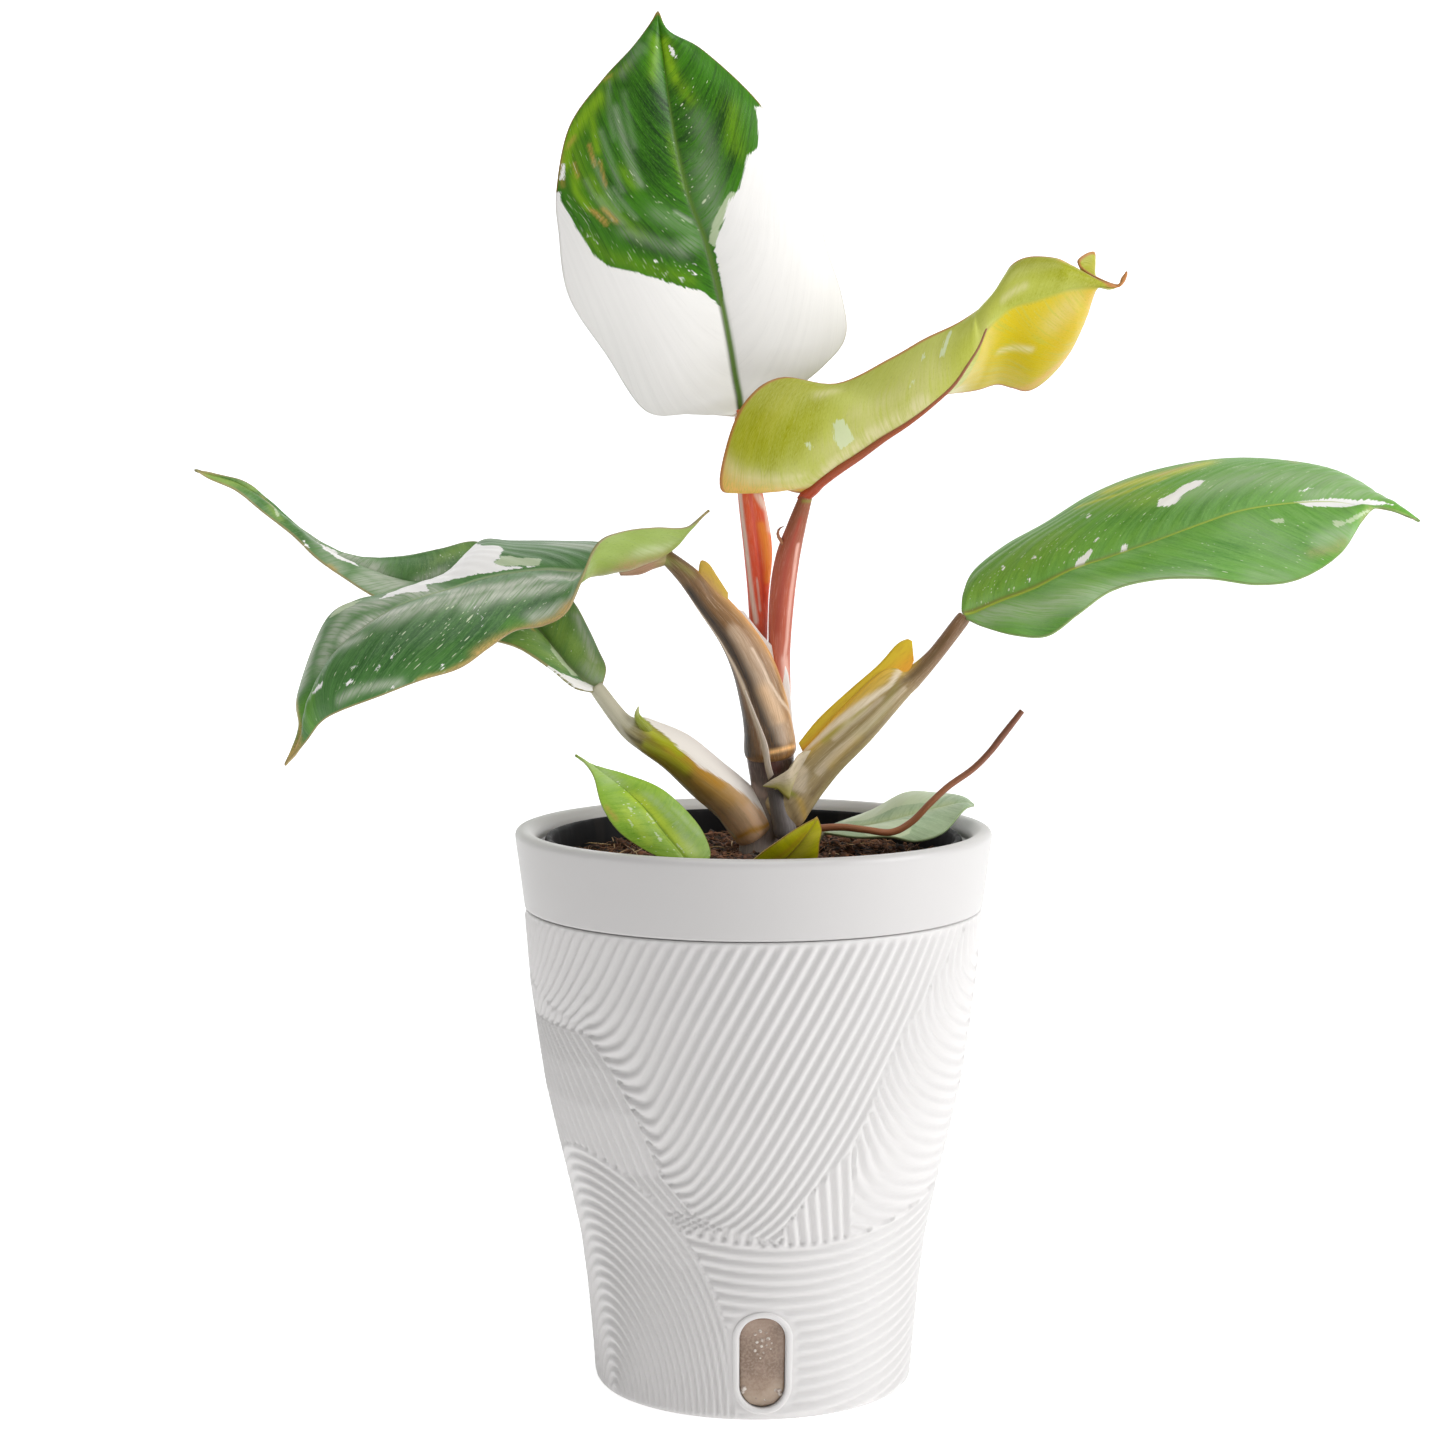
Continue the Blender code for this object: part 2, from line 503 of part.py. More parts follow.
LEAF_4 = (
    ((-12, -4, 239.3), (-25, -2, 228.2), (-25.5, 0, 228.5)),
    ((-18, -7, 235), (-29, -3, 227), (-29.5, 8, 228.5)),
    ((-26.5, -11, 235), (-36, -4, 223.8), (-36.5, 15, 229)),
    ((-35.5, -15, 234), (-42.5, -5, 222.6), (-44, 20, 229.5)),
    ((-41.5, -20, 231), (-48, -6, 222.9), (-51, 23, 229.5)),
    ((-45.5, -26, 222), (-54.5, -8, 223.5), (-59.5, 25, 229.5)),
    ((-49.5, -29, 213.5), (-61, -9, 223), (-67.5, 25, 229.5)),
    ((-55.5, -29, 210), (-68, -10, 222), (-74.5, 23, 230)),
    ((-63, -29, 208.6), (-74.5, -11, 220.5), (-78.5, 16, 227)),
    ((-69.5, -31.5, 204.4), (-81, -13, 218.5), (-84, 8, 221)),
    ((-77, -34, 199.2), (-88, -15, 216.5), (-90.5, 2, 218.5)),
    ((-87.5, -36, 196), (-95, -17, 214), (-98, -2, 216.5)),
    ((-98, -37, 192), (-103, -19, 209), (-107, -6, 215)),
    ((-108.5, -36, 188), (-110.5, -21, 202.5), (-115, -10, 209.5)),
    ((-113.8, -32, 184.7), (-116.5, -25, 191.5), (-121.3, -19, 191)),
    ((-118, -28.5, 179.5), (-119, -26, 181.7), (-120.5, -23.5, 183)),
    ((-121.2, -28, 175.8), (-121.7, -27, 176.4), (-122.2, -26, 177)),
    ((-124, -28, 173), (-124, -28, 173), (-124, -28, 173)),
)
LEAF_5 = (
    ((-43.9, -2, 189.8), (-42.3, 0, 191.3), (-41, 1, 192)),
    ((-48.6, -6, 191.6), (-46, 1, 192.5), (-40.5, 5, 196)),
    ((-54, -8.5, 196.3), (-50.5, 3, 196), (-42.5, 9, 200)),
    ((-59.5, -9, 200.3), (-55, 6, 201), (-45.5, 12, 206)),
    ((-65, -7, 203), (-60, 10, 206.5), (-50, 16, 213.5)),
    ((-74.5, -2, 205), (-67.5, 15, 212), (-58, 22, 221)),
    ((-85.5, 5, 208), (-77.5, 20, 215), (-68.5, 28, 226)),
    ((-95.5, 10, 212), (-87.5, 23, 217), (-78, 32, 229)),
    ((-104, 11, 215), (-97.5, 23, 218.5), (-87.5, 31, 227)),
    ((-112, 11, 220), (-107.5, 21, 222), (-99, 27, 225)),
    ((-119.5, 10, 225.5), (-118, 18, 227), (-111.5, 22, 225.5)),
    ((-126, 9, 232), (-126, 15, 233.5), (-124, 18, 232)),
    ((-134, 7, 238.5), (-133.5, 11, 241), (-132.5, 13, 240.5)),
    ((-140.5, 4, 244.3), (-141, 7, 246), (-138.5, 8, 246.5)),
    ((-147.5, 2, 247.5), (-147.5, 3, 248.6), (-146, 3, 249)),
    ((-151, 0, 250), (-151, 0, 250), (-151, 0, 250)),
)
LEAF_6 = (
    ((-18.5, -36, 147.2), (-17.8, -35.6, 147), (-16.5, -35, 147.2)),
    ((-25, -38, 150), (-19, -36, 150), (-12, -32, 148.8)),
    ((-30.5, -39, 153), (-23.5, -35.5, 155.5), (-13, -31, 154)),
    ((-36, -40, 157.5), (-29, -35, 162.5), (-17, -31, 160)),
    ((-40, -40, 164), (-35, -35, 168), (-24.5, -32, 167)),
    ((-42, -38, 171), (-40.5, -35, 172), (-34, -33, 171)),
    ((-44.5, -36, 174.5), (-44, -35, 174.5), (-42, -35, 173.5)),
    ((-47, -35, 176.5), (-47, -35, 176.5), (-47, -35, 176.5)),
)
LEAF_7 = (
    ((4, -45, 147.2), (5, -44.5, 146.9), (6, -44, 147.1)),
    ((-1, -47, 149.3), (5.5, -45, 149), (13, -43, 148)),
    ((1, -48, 152), (8.5, -46, 151.5), (16, -44, 150.5)),
    ((5.5, -49, 155.5), (11.5, -47, 155), (16.5, -46, 155)),
    ((10.5, -49, 159), (14, -48, 158.5), (17, -47, 158.5)),
    ((16, -49, 162), (16, -49, 162), (16, -49, 162)),
)
LEAF_8 = (
    ((19.5, 3, 152), (19.3, 1, 151.2), (19.5, 0, 151)),
    ((26, 9, 153.5), (25.5, 2, 152), (28, -5, 150.5)),
    ((33.5, 15, 155.5), (33.5, 3, 153), (37, -8, 151)),
    ((42.5, 20, 159.5), (42.5, 5, 155), (44, -9, 150)),
    ((51, 20, 159.5), (51, 7, 157), (51.5, -6, 152)),
    ((58, 16, 159), (57.5, 9, 158), (57.5, 2, 157)),
    ((61, 9, 157.5), (61, 9, 157.5), (61, 9, 157.5)),
)
# Name: ribs, left bow and right bow in mm from stalk to tip, stations along the blade, colour.
# Bow is how far a half arches towards the face that the ribs are seen from, or below zero away from it.
# A half never arches by more than MOST_BOW of its width.
BLADES = {
    "leaf_1": (LEAF_1, (0, 3, 4, 4, 1), (0, 3, 4, 3, 1), 17, (0.10, 0.33, 0.05)),
    "leaf_2": (LEAF_2, (0, -1, -1, -2, -4, -2.5, 0), (0, -4, -2, -3, -3, -1.5, 0), 24, (0.50, 0.60, 0.10)),
    "leaf_3": (LEAF_3, (0, 3, 3, 3, 0), (0, 5, 4, 5, 0), 19, (0.13, 0.36, 0.10)),
    "leaf_4": (
        LEAF_4, (0, -3, -5, -7, -7.5, -2, 2, 3, 3.5, 4, 5, 5, 5, 4.5, 3, 1, 0, 0), (0, 2, 2, 2, 1, 0), 24,
        (0.10, 0.28, 0.09),
    ),
    "leaf_5": (LEAF_5, (0, 2, 3, 2, 1, 0), (0, 3, 2, 1, 0.5, 0), 20, (0.11, 0.32, 0.09)),
    "leaf_6": (LEAF_6, (0, 0.8, 0), (0, 0.8, 0), 11, (0.25, 0.55, 0.10)),
    "leaf_7": (LEAF_7, (0, 0.6, 0), (0, 0.6, 0), 8, (0.50, 0.55, 0.08)),
    "leaf_8": (LEAF_8, (0, 1, 0), (0, 1.2, 0), 11, (0.55, 0.66, 0.52)),
}


def blade_rows(ribs, left_bow, right_bow, stations):
    """Rows of points across the blade from edge to edge, arched between the edges and the midrib."""
    ribs = np.array(ribs, float) * MM
    curves = [smooth_through(ribs[:, side], stations) for side in range(3)]
    left, middle, right = curves
    along = np.gradient(middle, axis=0)
    place = np.linspace(0, 1, stations)
    bows = [np.interp(place, np.linspace(0, 1, len(bow)), bow) * MM for bow in (left_bow, right_bow)]
    rows = []
    for index in range(stations):
        row = []
        for edge, turned_side, bow in ((left, -1, bows[0]), (right, 1, bows[1])):
            across = edge[index] - middle[index]
            arch = np.cross(across, along[index]) * turned_side
            length = np.linalg.norm(arch)
            limit = MOST_BOW * np.linalg.norm(across)
            bowed = min(max(bow[index], -limit), limit)
            arch = arch / length * bowed if length > 0 else arch
            half = []
            for step in range(BLADE_STRIPS + 1):
                share = step / BLADE_STRIPS
                half.append(Vector(middle[index] + across * share + arch * 4 * share * (1 - share)))
            row = half[::-1] if turned_side < 0 else row + half[1:]
        rows.append(row)
    return rows


def make_blades():
    for name, (ribs, left_bow, right_bow, stations, colour) in BLADES.items():
        finish = material(name + " green", colour, 0.35)
        bm = loft(blade_rows(ribs, left_bow, right_bow, stations), wrap=False)
        blade = add_object(name, bm, finish)
        wall = blade.modifiers.new("Thickness", "SOLIDIFY")
        wall.thickness = BLADE_THICKNESS
        wall.offset = 0


def make_plant():
    """The stem, the stalks with their sheaths and the aerial root; returns what stands in the soil."""
    dark = material("dark stem", (0.10, 0.075, 0.085), 0.5)
    bronze = material("bronze stalk", (0.26, 0.17, 0.10), 0.45)
    rose = material("rose stalk", (0.60, 0.20, 0.12), 0.4)
    olive = material("olive stalk", (0.32, 0.26, 0.12), 0.45)
    stem_room = clearance("stem_room", STEM_PATH, STEM_RADII, dark)
    stalk("main_stem", STEM_PATH, STEM_RADII, dark)
    first_room = clearance("petiole_1_room", PETIOLE_1_PATH, PETIOLE_1_RADII, rose, count=16)
    second_room = clearance("petiole_2_room", PETIOLE_2_PATH, PETIOLE_2_RADII, rose, count=14)
    fourth_room = clearance("petiole_4_room", PETIOLE_4_PATH, PETIOLE_4_RADII, bronze, PETIOLE_4_WING, -1)
    fifth_room = clearance("petiole_5_room", PETIOLE_5_PATH, PETIOLE_5_RADII, olive, PETIOLE_5_WING, -1)
    first = stalk("petiole_1", PETIOLE_1_PATH, PETIOLE_1_RADII, rose, PETIOLE_1_WING, -1, 16)
    boolean(first, second_room)
    stalk("petiole_2", PETIOLE_2_PATH, PETIOLE_2_RADII, rose, count=14)
    third = stalk("petiole_3", PETIOLE_3_PATH, PETIOLE_3_RADII, olive, PETIOLE_3_WING)
    boolean(third, stem_room)
    boolean(third, fourth_room)
    boolean(third, fifth_room)
    fourth = stalk("petiole_4", PETIOLE_4_PATH, PETIOLE_4_RADII, bronze, PETIOLE_4_WING, -1)
    boolean(fourth, first_room)
    boolean(fourth, second_room)
    fifth = stalk("petiole_5", PETIOLE_5_PATH, PETIOLE_5_RADII, olive, PETIOLE_5_WING, -1)
    boolean(fifth, stem_room)
    rooms = [stem_room]
    for name, (path, radii) in SMALL_STALKS.items():
        stalk(name, path, radii, olive, count=4, sides=8)
        rooms.append(clearance(name + "_room", path, radii, olive, count=4))
    stalk("aerial_root", ROOT_PATH, ROOT_RADII, rose, count=26, sides=ROOT_SIDES)
    return rooms


clear_scene()
make_outer_shell()
make_level_window()
make_grow_liner()
make_nursery_pot()
make_wick()
make_potting_mix(make_plant())
make_blades()
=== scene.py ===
"""Looks of a potted philodendron with white-and-green leaves in a two-part self-watering planter."""

import math

import bmesh
import bpy
import numpy as np
from mathutils import Matrix, Vector, noise


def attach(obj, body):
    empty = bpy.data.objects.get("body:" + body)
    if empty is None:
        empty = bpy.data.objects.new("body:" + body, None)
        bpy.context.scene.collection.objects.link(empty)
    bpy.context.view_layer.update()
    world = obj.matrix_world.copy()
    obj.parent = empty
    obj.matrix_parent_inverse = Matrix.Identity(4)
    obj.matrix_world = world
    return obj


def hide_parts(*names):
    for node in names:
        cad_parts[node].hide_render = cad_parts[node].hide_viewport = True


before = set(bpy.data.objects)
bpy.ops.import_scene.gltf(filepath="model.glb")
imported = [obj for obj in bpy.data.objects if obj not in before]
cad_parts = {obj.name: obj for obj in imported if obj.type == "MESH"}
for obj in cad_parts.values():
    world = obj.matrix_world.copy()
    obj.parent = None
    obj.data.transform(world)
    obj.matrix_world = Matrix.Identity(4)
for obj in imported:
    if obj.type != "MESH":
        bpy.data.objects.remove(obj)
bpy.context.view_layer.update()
MM = 0.001

# Camera, floor and light.
# A glowing white paper sweep that rises behind the plant, under an even sky, with one large soft lamp
# at the right and a small one above the front, as in a product studio.
CAMERA_PLACE = (-0.00845, -0.8795, 0.2721)
CAMERA_DIP = 5.885
LENS, SENSOR, SIGHT = 80.9, 36, 20
SWEEP_FRONT, SWEEP_BACK, SWEEP_TOP, SWEEP_WIDTH = -2.2, 2.2, 2.0, 3.0
SWEEP_FLAT, SWEEP_BEND = 0.7, 0.55
SKY_STRENGTH = 0.25
PAPER_GLOW, GLOW_REACH = (0.56, 0.66), (0.3, 1.6)
# Name: place, width, power. Both lamps look at the same place.
LAMPS = (("side lamp", (1.25, -0.4, 0.6), 1.0, 12.5), ("top lamp", (0.0, -0.25, 1.35), 1.2, 8.0))
LIT_PLACE = (0, 0, 0.18)


def place_on(obj_data, name):
    made = bpy.data.objects.new(name, obj_data)
    bpy.context.scene.collection.objects.link(made)
    return made


camera = place_on(bpy.data.cameras.new("camera"), "camera")
camera.data.lens, camera.data.sensor_width, camera.data.clip_end = LENS, SENSOR, SIGHT
camera.location = CAMERA_PLACE
camera.rotation_euler = (math.radians(90 - CAMERA_DIP), 0, 0)
bpy.context.scene.camera = camera
bpy.context.scene.view_settings.view_transform = "Standard"

sky = bpy.data.worlds.new("studio")
sky.use_nodes = True
sky.node_tree.nodes["Background"].inputs["Color"].default_value = (1.0, 1.0, 1.0, 1.0)
sky.node_tree.nodes["Background"].inputs["Strength"].default_value = SKY_STRENGTH
bpy.context.scene.world = sky
for name, place, size, power in LAMPS:
    lamp = place_on(bpy.data.lights.new(name, "AREA"), name)
    lamp.data.shape, lamp.data.size, lamp.data.energy = "DISK", size, power
    lamp.location = place
    lamp.rotation_euler = (Vector(LIT_PLACE) - Vector(place)).to_track_quat("-Z", "Y").to_euler()


class Finish:
    """A material whose nodes are added one call at a time, each call giving the new node's output."""

    def __init__(self, name):
        self.made = bpy.data.materials.new(name)
        self.made.use_nodes = True
        self.tree = self.made.node_tree
        self.shader = self.tree.nodes["Principled BSDF"]

    def put(self, value, socket):
        if isinstance(value, bpy.types.NodeSocket):
            self.tree.links.new(value, socket)
        elif socket.type in ("RGBA", "VECTOR") and not isinstance(value, (int, float)):
            size = len(socket.default_value)
            socket.default_value = (*value, 1.0)[:size]
        else:
            socket.default_value = value

    def node(self, kind, settings, inputs, output=0):
        made = self.tree.nodes.new(kind)
        for key, value in settings.items():
            setattr(made, key, value)
        for key, value in inputs.items():
            self.put(value, made.inputs[key])
        return made.outputs[output]

    def maths(self, operation, *values):
        return self.node("ShaderNodeMath", {"operation": operation}, dict(enumerate(values)))

    def times(self, first, second):
        return self.maths("MULTIPLY", first, second)

    def plus(self, first, second):
        return self.maths("ADD", first, second)

    def ramp(self, value, low, high, to_low=0.0, to_high=1.0):
        """The value taken smoothly from low to high onto to_low to to_high."""
        ends = {"From Min": low, "From Max": high, "To Min": to_low, "To Max": to_high}
        return self.node("ShaderNodeMapRange", {"interpolation_type": "SMOOTHSTEP"}, {"Value": value, **ends})

    def mix(self, share, first, second):
        made = self.tree.nodes.new("ShaderNodeMix")
        made.data_type = "RGBA"
        self.put(share, made.inputs[0])
        self.put(first, made.inputs[6])
        self.put(second, made.inputs[7])
        return made.outputs[2]

    def place(self, stretch=(1, 1, 1), source=None):
        if source is None:
            source = self.node("ShaderNodeTexCoord", {}, {}, "Object")
        return self.node("ShaderNodeMapping", {}, {"Vector": source, "Scale": stretch})

    def noise(self, at, scale, detail=3.0, roughness=0.5, distortion=0.0):
        inputs = {"Vector": at, "Scale": scale, "Detail": detail, "Roughness": roughness,
                  "Distortion": distortion}
        return self.node("ShaderNodeTexNoise", {}, inputs)

    def streaks(self, stretch, source, detail=3.0, roughness=0.6):
        """Noise on a vector that the mesh carries, drawn out along the way that it grew."""
        return self.noise(self.place(stretch, source), 1.0, detail, roughness)

    def parts(self, vector):
        made = self.tree.nodes.new("ShaderNodeSeparateXYZ")
        self.put(vector, made.inputs["Vector"])
        return made.outputs[:]

    def carried(self, key):
        """A vector that the mesh carries at each point, whole and as its three numbers."""
        found = self.node("ShaderNodeAttribute", {"attribute_name": key}, {}, 1)
        return found, self.parts(found)

    def bump(self, height, strength, distance):
        inputs = {"Height": height, "Strength": strength, "Distance": distance}
        return self.node("ShaderNodeBump", {}, inputs)

    def finish(self, **inputs):
        for key, value in inputs.items():
            self.put(value, self.shader.inputs[key.replace("_", " ")])
        return self.made


def plain_mesh(name, bm, *finishes):
    """A shown object from a bmesh, at the origin, shaded smooth."""
    mesh = bpy.data.meshes.new(name)
    bm.to_mesh(mesh)
    bm.free()
    mesh.shade_smooth()
    for finish in finishes:
        mesh.materials.append(finish)
    return place_on(mesh, name)


paper = Finish("pale paper")
grain = paper.noise(paper.place(), 900.0)
away = paper.node("ShaderNodeVectorMath", {"operation": "LENGTH"}, {0: paper.place()}, 1)
# The paper gives off light of its own: painted light that brightens the pot from below. It glows a little less
# near the pot, a faint painted shade round its foot.
paper_white = paper.finish(
    Base_Color=(0.93, 0.93, 0.93), Roughness=0.9, Normal=paper.bump(grain, 0.1, 0.0002),
    Emission_Color=(1.0, 1.0, 1.0), Emission_Strength=paper.ramp(away, *GLOW_REACH, *PAPER_GLOW),
)
bm = bmesh.new()
bmesh.ops.create_grid(bm, x_segments=2, y_segments=60, size=1)
for vert in bm.verts:
    share = (vert.co.y + 1) / 2
    depth = SWEEP_FRONT + (SWEEP_BACK - SWEEP_FRONT) * min(share / SWEEP_FLAT, 1)
    rise = max(share - SWEEP_BEND, 0) / (1 - SWEEP_BEND)
    vert.co = (vert.co.x * SWEEP_WIDTH, depth, SWEEP_TOP * rise ** 2)
floor = plain_mesh("paper_sweep", bm, paper_white)

# Outer shell.
# The lower planter is one moulding of white plastic. Its outside carries raked ridges in fields that
# meet at an angle, and a smooth raised bead goes round the water window near the base.
BASE_RADIUS = 43.1
SEAM_HEIGHT = 131.3
WALL, FLOOR = 2.4, 2.5
NECK_OUTER, NECK_INNER, NECK_HEIGHT = 60.6, 58.9, 148.2
SHELL_OUTLINE = (
    (0, 42.5), (0.7, 43.1), (13, 44.0), (27, 45.3), (41, 47.1), (55, 50.1), (69, 53.4),
    (83, 56.6), (97, 58.7), (111, 60.6), (131.3, 62.2),
)
SHELL_TURNS, SHELL_ROWS = 520, 172
RIDGE_PITCH, RIDGE_DEPTH, RIDGE_CREST, RIDGE_SUNK = 3.3, 1.15, 0.8, 0.55
PLAIN_EDGE = 1.6
# The fields' ends, in degrees from the front and in mm: the smile below, the fan at the left.
SMILE_TURN, SMILE_HEIGHT, SMILE_LIFT = 12, 48.5, 5
FAN_TURN, FAN_STRETCH, FAN_REACH = -60, 1.3, 70.5
LOW_FIELD, TIP_END = -30, 29
MM_A_DEGREE = 0.9
# Borders of the swept field: turns from the front in degrees, then heights in mm.
LEFT_BORDER = np.array((
    (8, -6, -18, -27, -33, -39, -47, -82, -92), (49.5, 52.4, 57, 66.5, 83, 94, 103.5, 113, 116),
))
RIGHT_BORDER = np.array((
    (8.5, 16.6, 26.4, 30.9, 34.6, 38.8, 43.6, 52, 66), (53, 63, 73.4, 82, 91.7, 101, 109, 119, 131),
))
WINDOW_TURN, WINDOW_CENTRE, WINDOW_WIDTH, WINDOW_HEIGHT = 2.7, 16.0, 12.2, 25.2
BEAD_WIDTH, BEAD_PROUD = 1.7, 0.75


def shell_radius(height):
    heights, radii = np.array(SHELL_OUTLINE).T
    return np.interp(height, heights, radii)


def raked_phase(turn, height):
    """Distance in mm across the raked ridges at turns in degrees and heights in mm: level, fanned, swept
    or rising lines, by the field that a place lies in. The back repeats the front."""
    turn = (turn + 92) % 180 - 92
    left = np.interp(height, LEFT_BORDER[1], LEFT_BORDER[0])
    right = np.interp(height, RIGHT_BORDER[1], RIGHT_BORDER[0])
    smile = SMILE_HEIGHT + SMILE_LIFT * (1 - np.cos(np.radians(2 * (turn - SMILE_TURN))))
    fan = np.hypot((turn - FAN_TURN) * FAN_STRETCH, height)
    above = height - np.interp(-turn, -LEFT_BORDER[0], LEFT_BORDER[1])
    swept = MM_A_DEGREE * (turn + 0.5 * (131 - height) + 9 * np.exp(-np.maximum(above, 0) / 10))
    rising = height + 22 * (1 - np.exp(-np.maximum(turn - right, 0) / 19))
    tip = MM_A_DEGREE * turn + 0.17 * height
    choices = (
        ((turn > left) & (turn < right) & (height > smile), swept),
        ((turn >= right) & (turn < TIP_END + 0.1 * (70 - height)) & (height > smile), tip),
        ((turn >= right) & (height > smile), rising),
        (fan < FAN_REACH, fan),
        ((height < smile) & (turn > LOW_FIELD), height - smile),
    )
    return np.select(*zip(*choices), MM_A_DEGREE * (left - turn))


def window_clearance(turn, height):
    """How far in mm a point of the shell lies outside the window."""
    aside = np.radians((turn - WINDOW_TURN + 180) % 360 - 180) * BASE_RADIUS
    above = np.maximum(np.abs(height - WINDOW_CENTRE) - (WINDOW_HEIGHT - WINDOW_WIDTH) / 2, 0)
    return np.hypot(aside, above) - WINDOW_WIDTH / 2


def turned(name, outline, turns, *finishes):
    """A closed solid turned round +Z from (radius, height) points in mm that end on the axis or meet."""
    bm = bmesh.new()
    points = [bm.verts.new((radius * MM, 0, height * MM)) for radius, height in outline]
    edges = [bm.edges.new(pair) for pair in zip(points, points[1:])]
    bmesh.ops.spin(
        bm, geom=points + edges, cent=(0, 0, 0), axis=(0, 0, 1), angle=math.tau, steps=turns,
        use_merge=True,
    )
    bmesh.ops.remove_doubles(bm, verts=bm.verts[:], dist=0.00001)
    bmesh.ops.recalc_face_normals(bm, faces=bm.faces[:])
    return plain_mesh(name, bm, *finishes)


def corners(mesh):
    points = np.empty(len(mesh.vertices) * 3)
    mesh.vertices.foreach_get("co", points)
    return points.reshape(-1, 3)


def rounded(outline, steps=4):
    """An outline with its inner corners cut again and again until they are round."""
    points = np.array(outline, float)
    for _ in range(steps):
        before, after = points[:-1], points[1:]
        cut = np.stack([before * 0.75 + after * 0.25, before * 0.25 + after * 0.75], 1).reshape(-1, 2)
        points = np.concatenate([points[:1], cut[1:-1], points[-1:]])
    return [tuple(point) for point in points]


def moulded(name, colour, roughness, speck):
    """White plastic with a faint grain, a slight drift of tone and a few dull specks."""
    plastic = Finish(name)
    cloud = plastic.noise(plastic.place(), 14.0)
    white = plastic.mix(plastic.ramp(cloud, 0.3, 0.7), tuple(c * 0.975 for c in colour), colour)
    dust = plastic.ramp(plastic.noise(plastic.place(), 260.0, 2.0), 0.70, 0.78, 0.0, speck)
    grain = plastic.noise(plastic.place(), 2400.0, 2.0)
    return plastic.finish(
        Base_Color=plastic.mix(dust, white, (0.55, 0.5, 0.45)),
        Roughness=plastic.ramp(cloud, 0.3, 0.7, roughness - 0.04, roughness + 0.05),
        Normal=plastic.bump(grain, 0.12, 0.00006),
    )


# This white is set lighter than the collar's, though both are one plastic: painted light on the lower pot.
raked_white = moulded("raked white plastic", (0.655, 0.64, 0.635), 0.42, 0.06)
outline = [(0, 0), (41.9, 0)]
for row in range(SHELL_ROWS + 1):
    height = 0.15 + (SEAM_HEIGHT - 0.15) * row / SHELL_ROWS
    outline.append((float(shell_radius(height)), height))
outline += [(NECK_OUTER, SEAM_HEIGHT), (NECK_OUTER, NECK_HEIGHT), (NECK_INNER, NECK_HEIGHT)]
outline += [(float(shell_radius(height)) - WALL, height) for height in (111, 69, 41)]
outline += [(BASE_RADIUS - WALL, FLOOR), (0, FLOOR)]
shell = turned("outer_shell_raked", outline, SHELL_TURNS, raked_white)
points = corners(shell.data)
across = np.hypot(points[:, 0], points[:, 1]) / MM
height = points[:, 2] / MM
turn = np.degrees(np.arctan2(points[:, 0], -points[:, 1]))
outside = (across > shell_radius(height) - 0.1) & (height < SEAM_HEIGHT - 0.05) & (height > 0.1)
clear = window_clearance(turn, height) - BEAD_WIDTH - 0.4
edge = np.minimum(np.minimum(height - 0.3, SEAM_HEIGHT - 0.6 - height), clear)
fade = np.clip(edge / PLAIN_EDGE, 0, 1)
wave = 0.5 + 0.5 * np.cos(math.tau * raked_phase(turn, height) / RIDGE_PITCH)
ridge = RIDGE_DEPTH * fade * (wave ** RIDGE_CREST - RIDGE_SUNK)
grown = 1 + np.where(outside, ridge, 0) / np.maximum(across, 1)
points[:, :2] *= grown[:, None]
shell.data.vertices.foreach_set("co", points.ravel())


def stadium(bm, width, height, depth, steps=24):
    """A ring of points in the window's outline on the plane y = depth, in mm; gives its vertices."""
    radius, reach = width / 2, (height - width) / 2
    ring = []
    for step in range(2 * steps):
        angle = math.tau * (step + 0.5) / (2 * steps)
        middle = reach if angle < math.pi else -reach
        place = (radius * math.cos(angle), depth, middle + radius * math.sin(angle))
        ring.append(bm.verts.new(Vector(place) * MM))
    return ring


def to_window(bm):
    place = Matrix.Rotation(math.radians(WINDOW_TURN), 4, "Z") @ Matrix.Translation((0, 0, WINDOW_CENTRE * MM))
    bmesh.ops.transform(bm, matrix=place, verts=bm.verts[:])


# The opening for the window is cut through the wall.
front = -float(shell_radius(WINDOW_CENTRE))
bm = bmesh.new()
face = bm.faces.new(stadium(bm, WINDOW_WIDTH, WINDOW_HEIGHT, front + 6))
pushed = bmesh.ops.extrude_face_region(bm, geom=[face])["geom"]
moved = [item for item in pushed if isinstance(item, bmesh.types.BMVert)]
bmesh.ops.translate(bm, verts=moved, vec=(0, -9 * MM, 0))
to_window(bm)
bmesh.ops.recalc_face_normals(bm, faces=bm.faces[:])
slot = plain_mesh("slot", bm, raked_white)
cut = shell.modifiers.new("Window", "BOOLEAN")
cut.operation = "DIFFERENCE"
cut.object = slot
with bpy.context.temp_override(object=shell, active_object=shell, selected_objects=[shell]):
    bpy.ops.object.modifier_apply(modifier="Window")
bpy.data.objects.remove(slot, do_unlink=True)
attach(shell, "root")
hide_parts("outer_shell")

# The bead: half-round rings round the opening, bent to the shell's curve.
BEAD_STEPS, BEAD_FOOT = 10, 1.0
bm = bmesh.new()
rings = []
for step in range(BEAD_STEPS + 1):
    share = step / BEAD_STEPS
    grow = BEAD_WIDTH * (1 - math.cos(math.pi * share))
    proud = BEAD_PROUD * math.sin(math.pi * share) ** 0.7 - BEAD_FOOT * (step in (0, BEAD_STEPS))
    rings.append(stadium(bm, WINDOW_WIDTH - 0.1 + grow, WINDOW_HEIGHT - 0.1 + grow, -proud))
rings.append(rings[0])
for inner, outer in zip(rings, rings[1:]):
    for index in range(len(inner)):
        after = (index + 1) % len(inner)
        bm.faces.new((inner[index], inner[after], outer[after], outer[index]))
to_window(bm)
turn_back = Matrix.Rotation(-math.radians(WINDOW_TURN), 3, "Z")
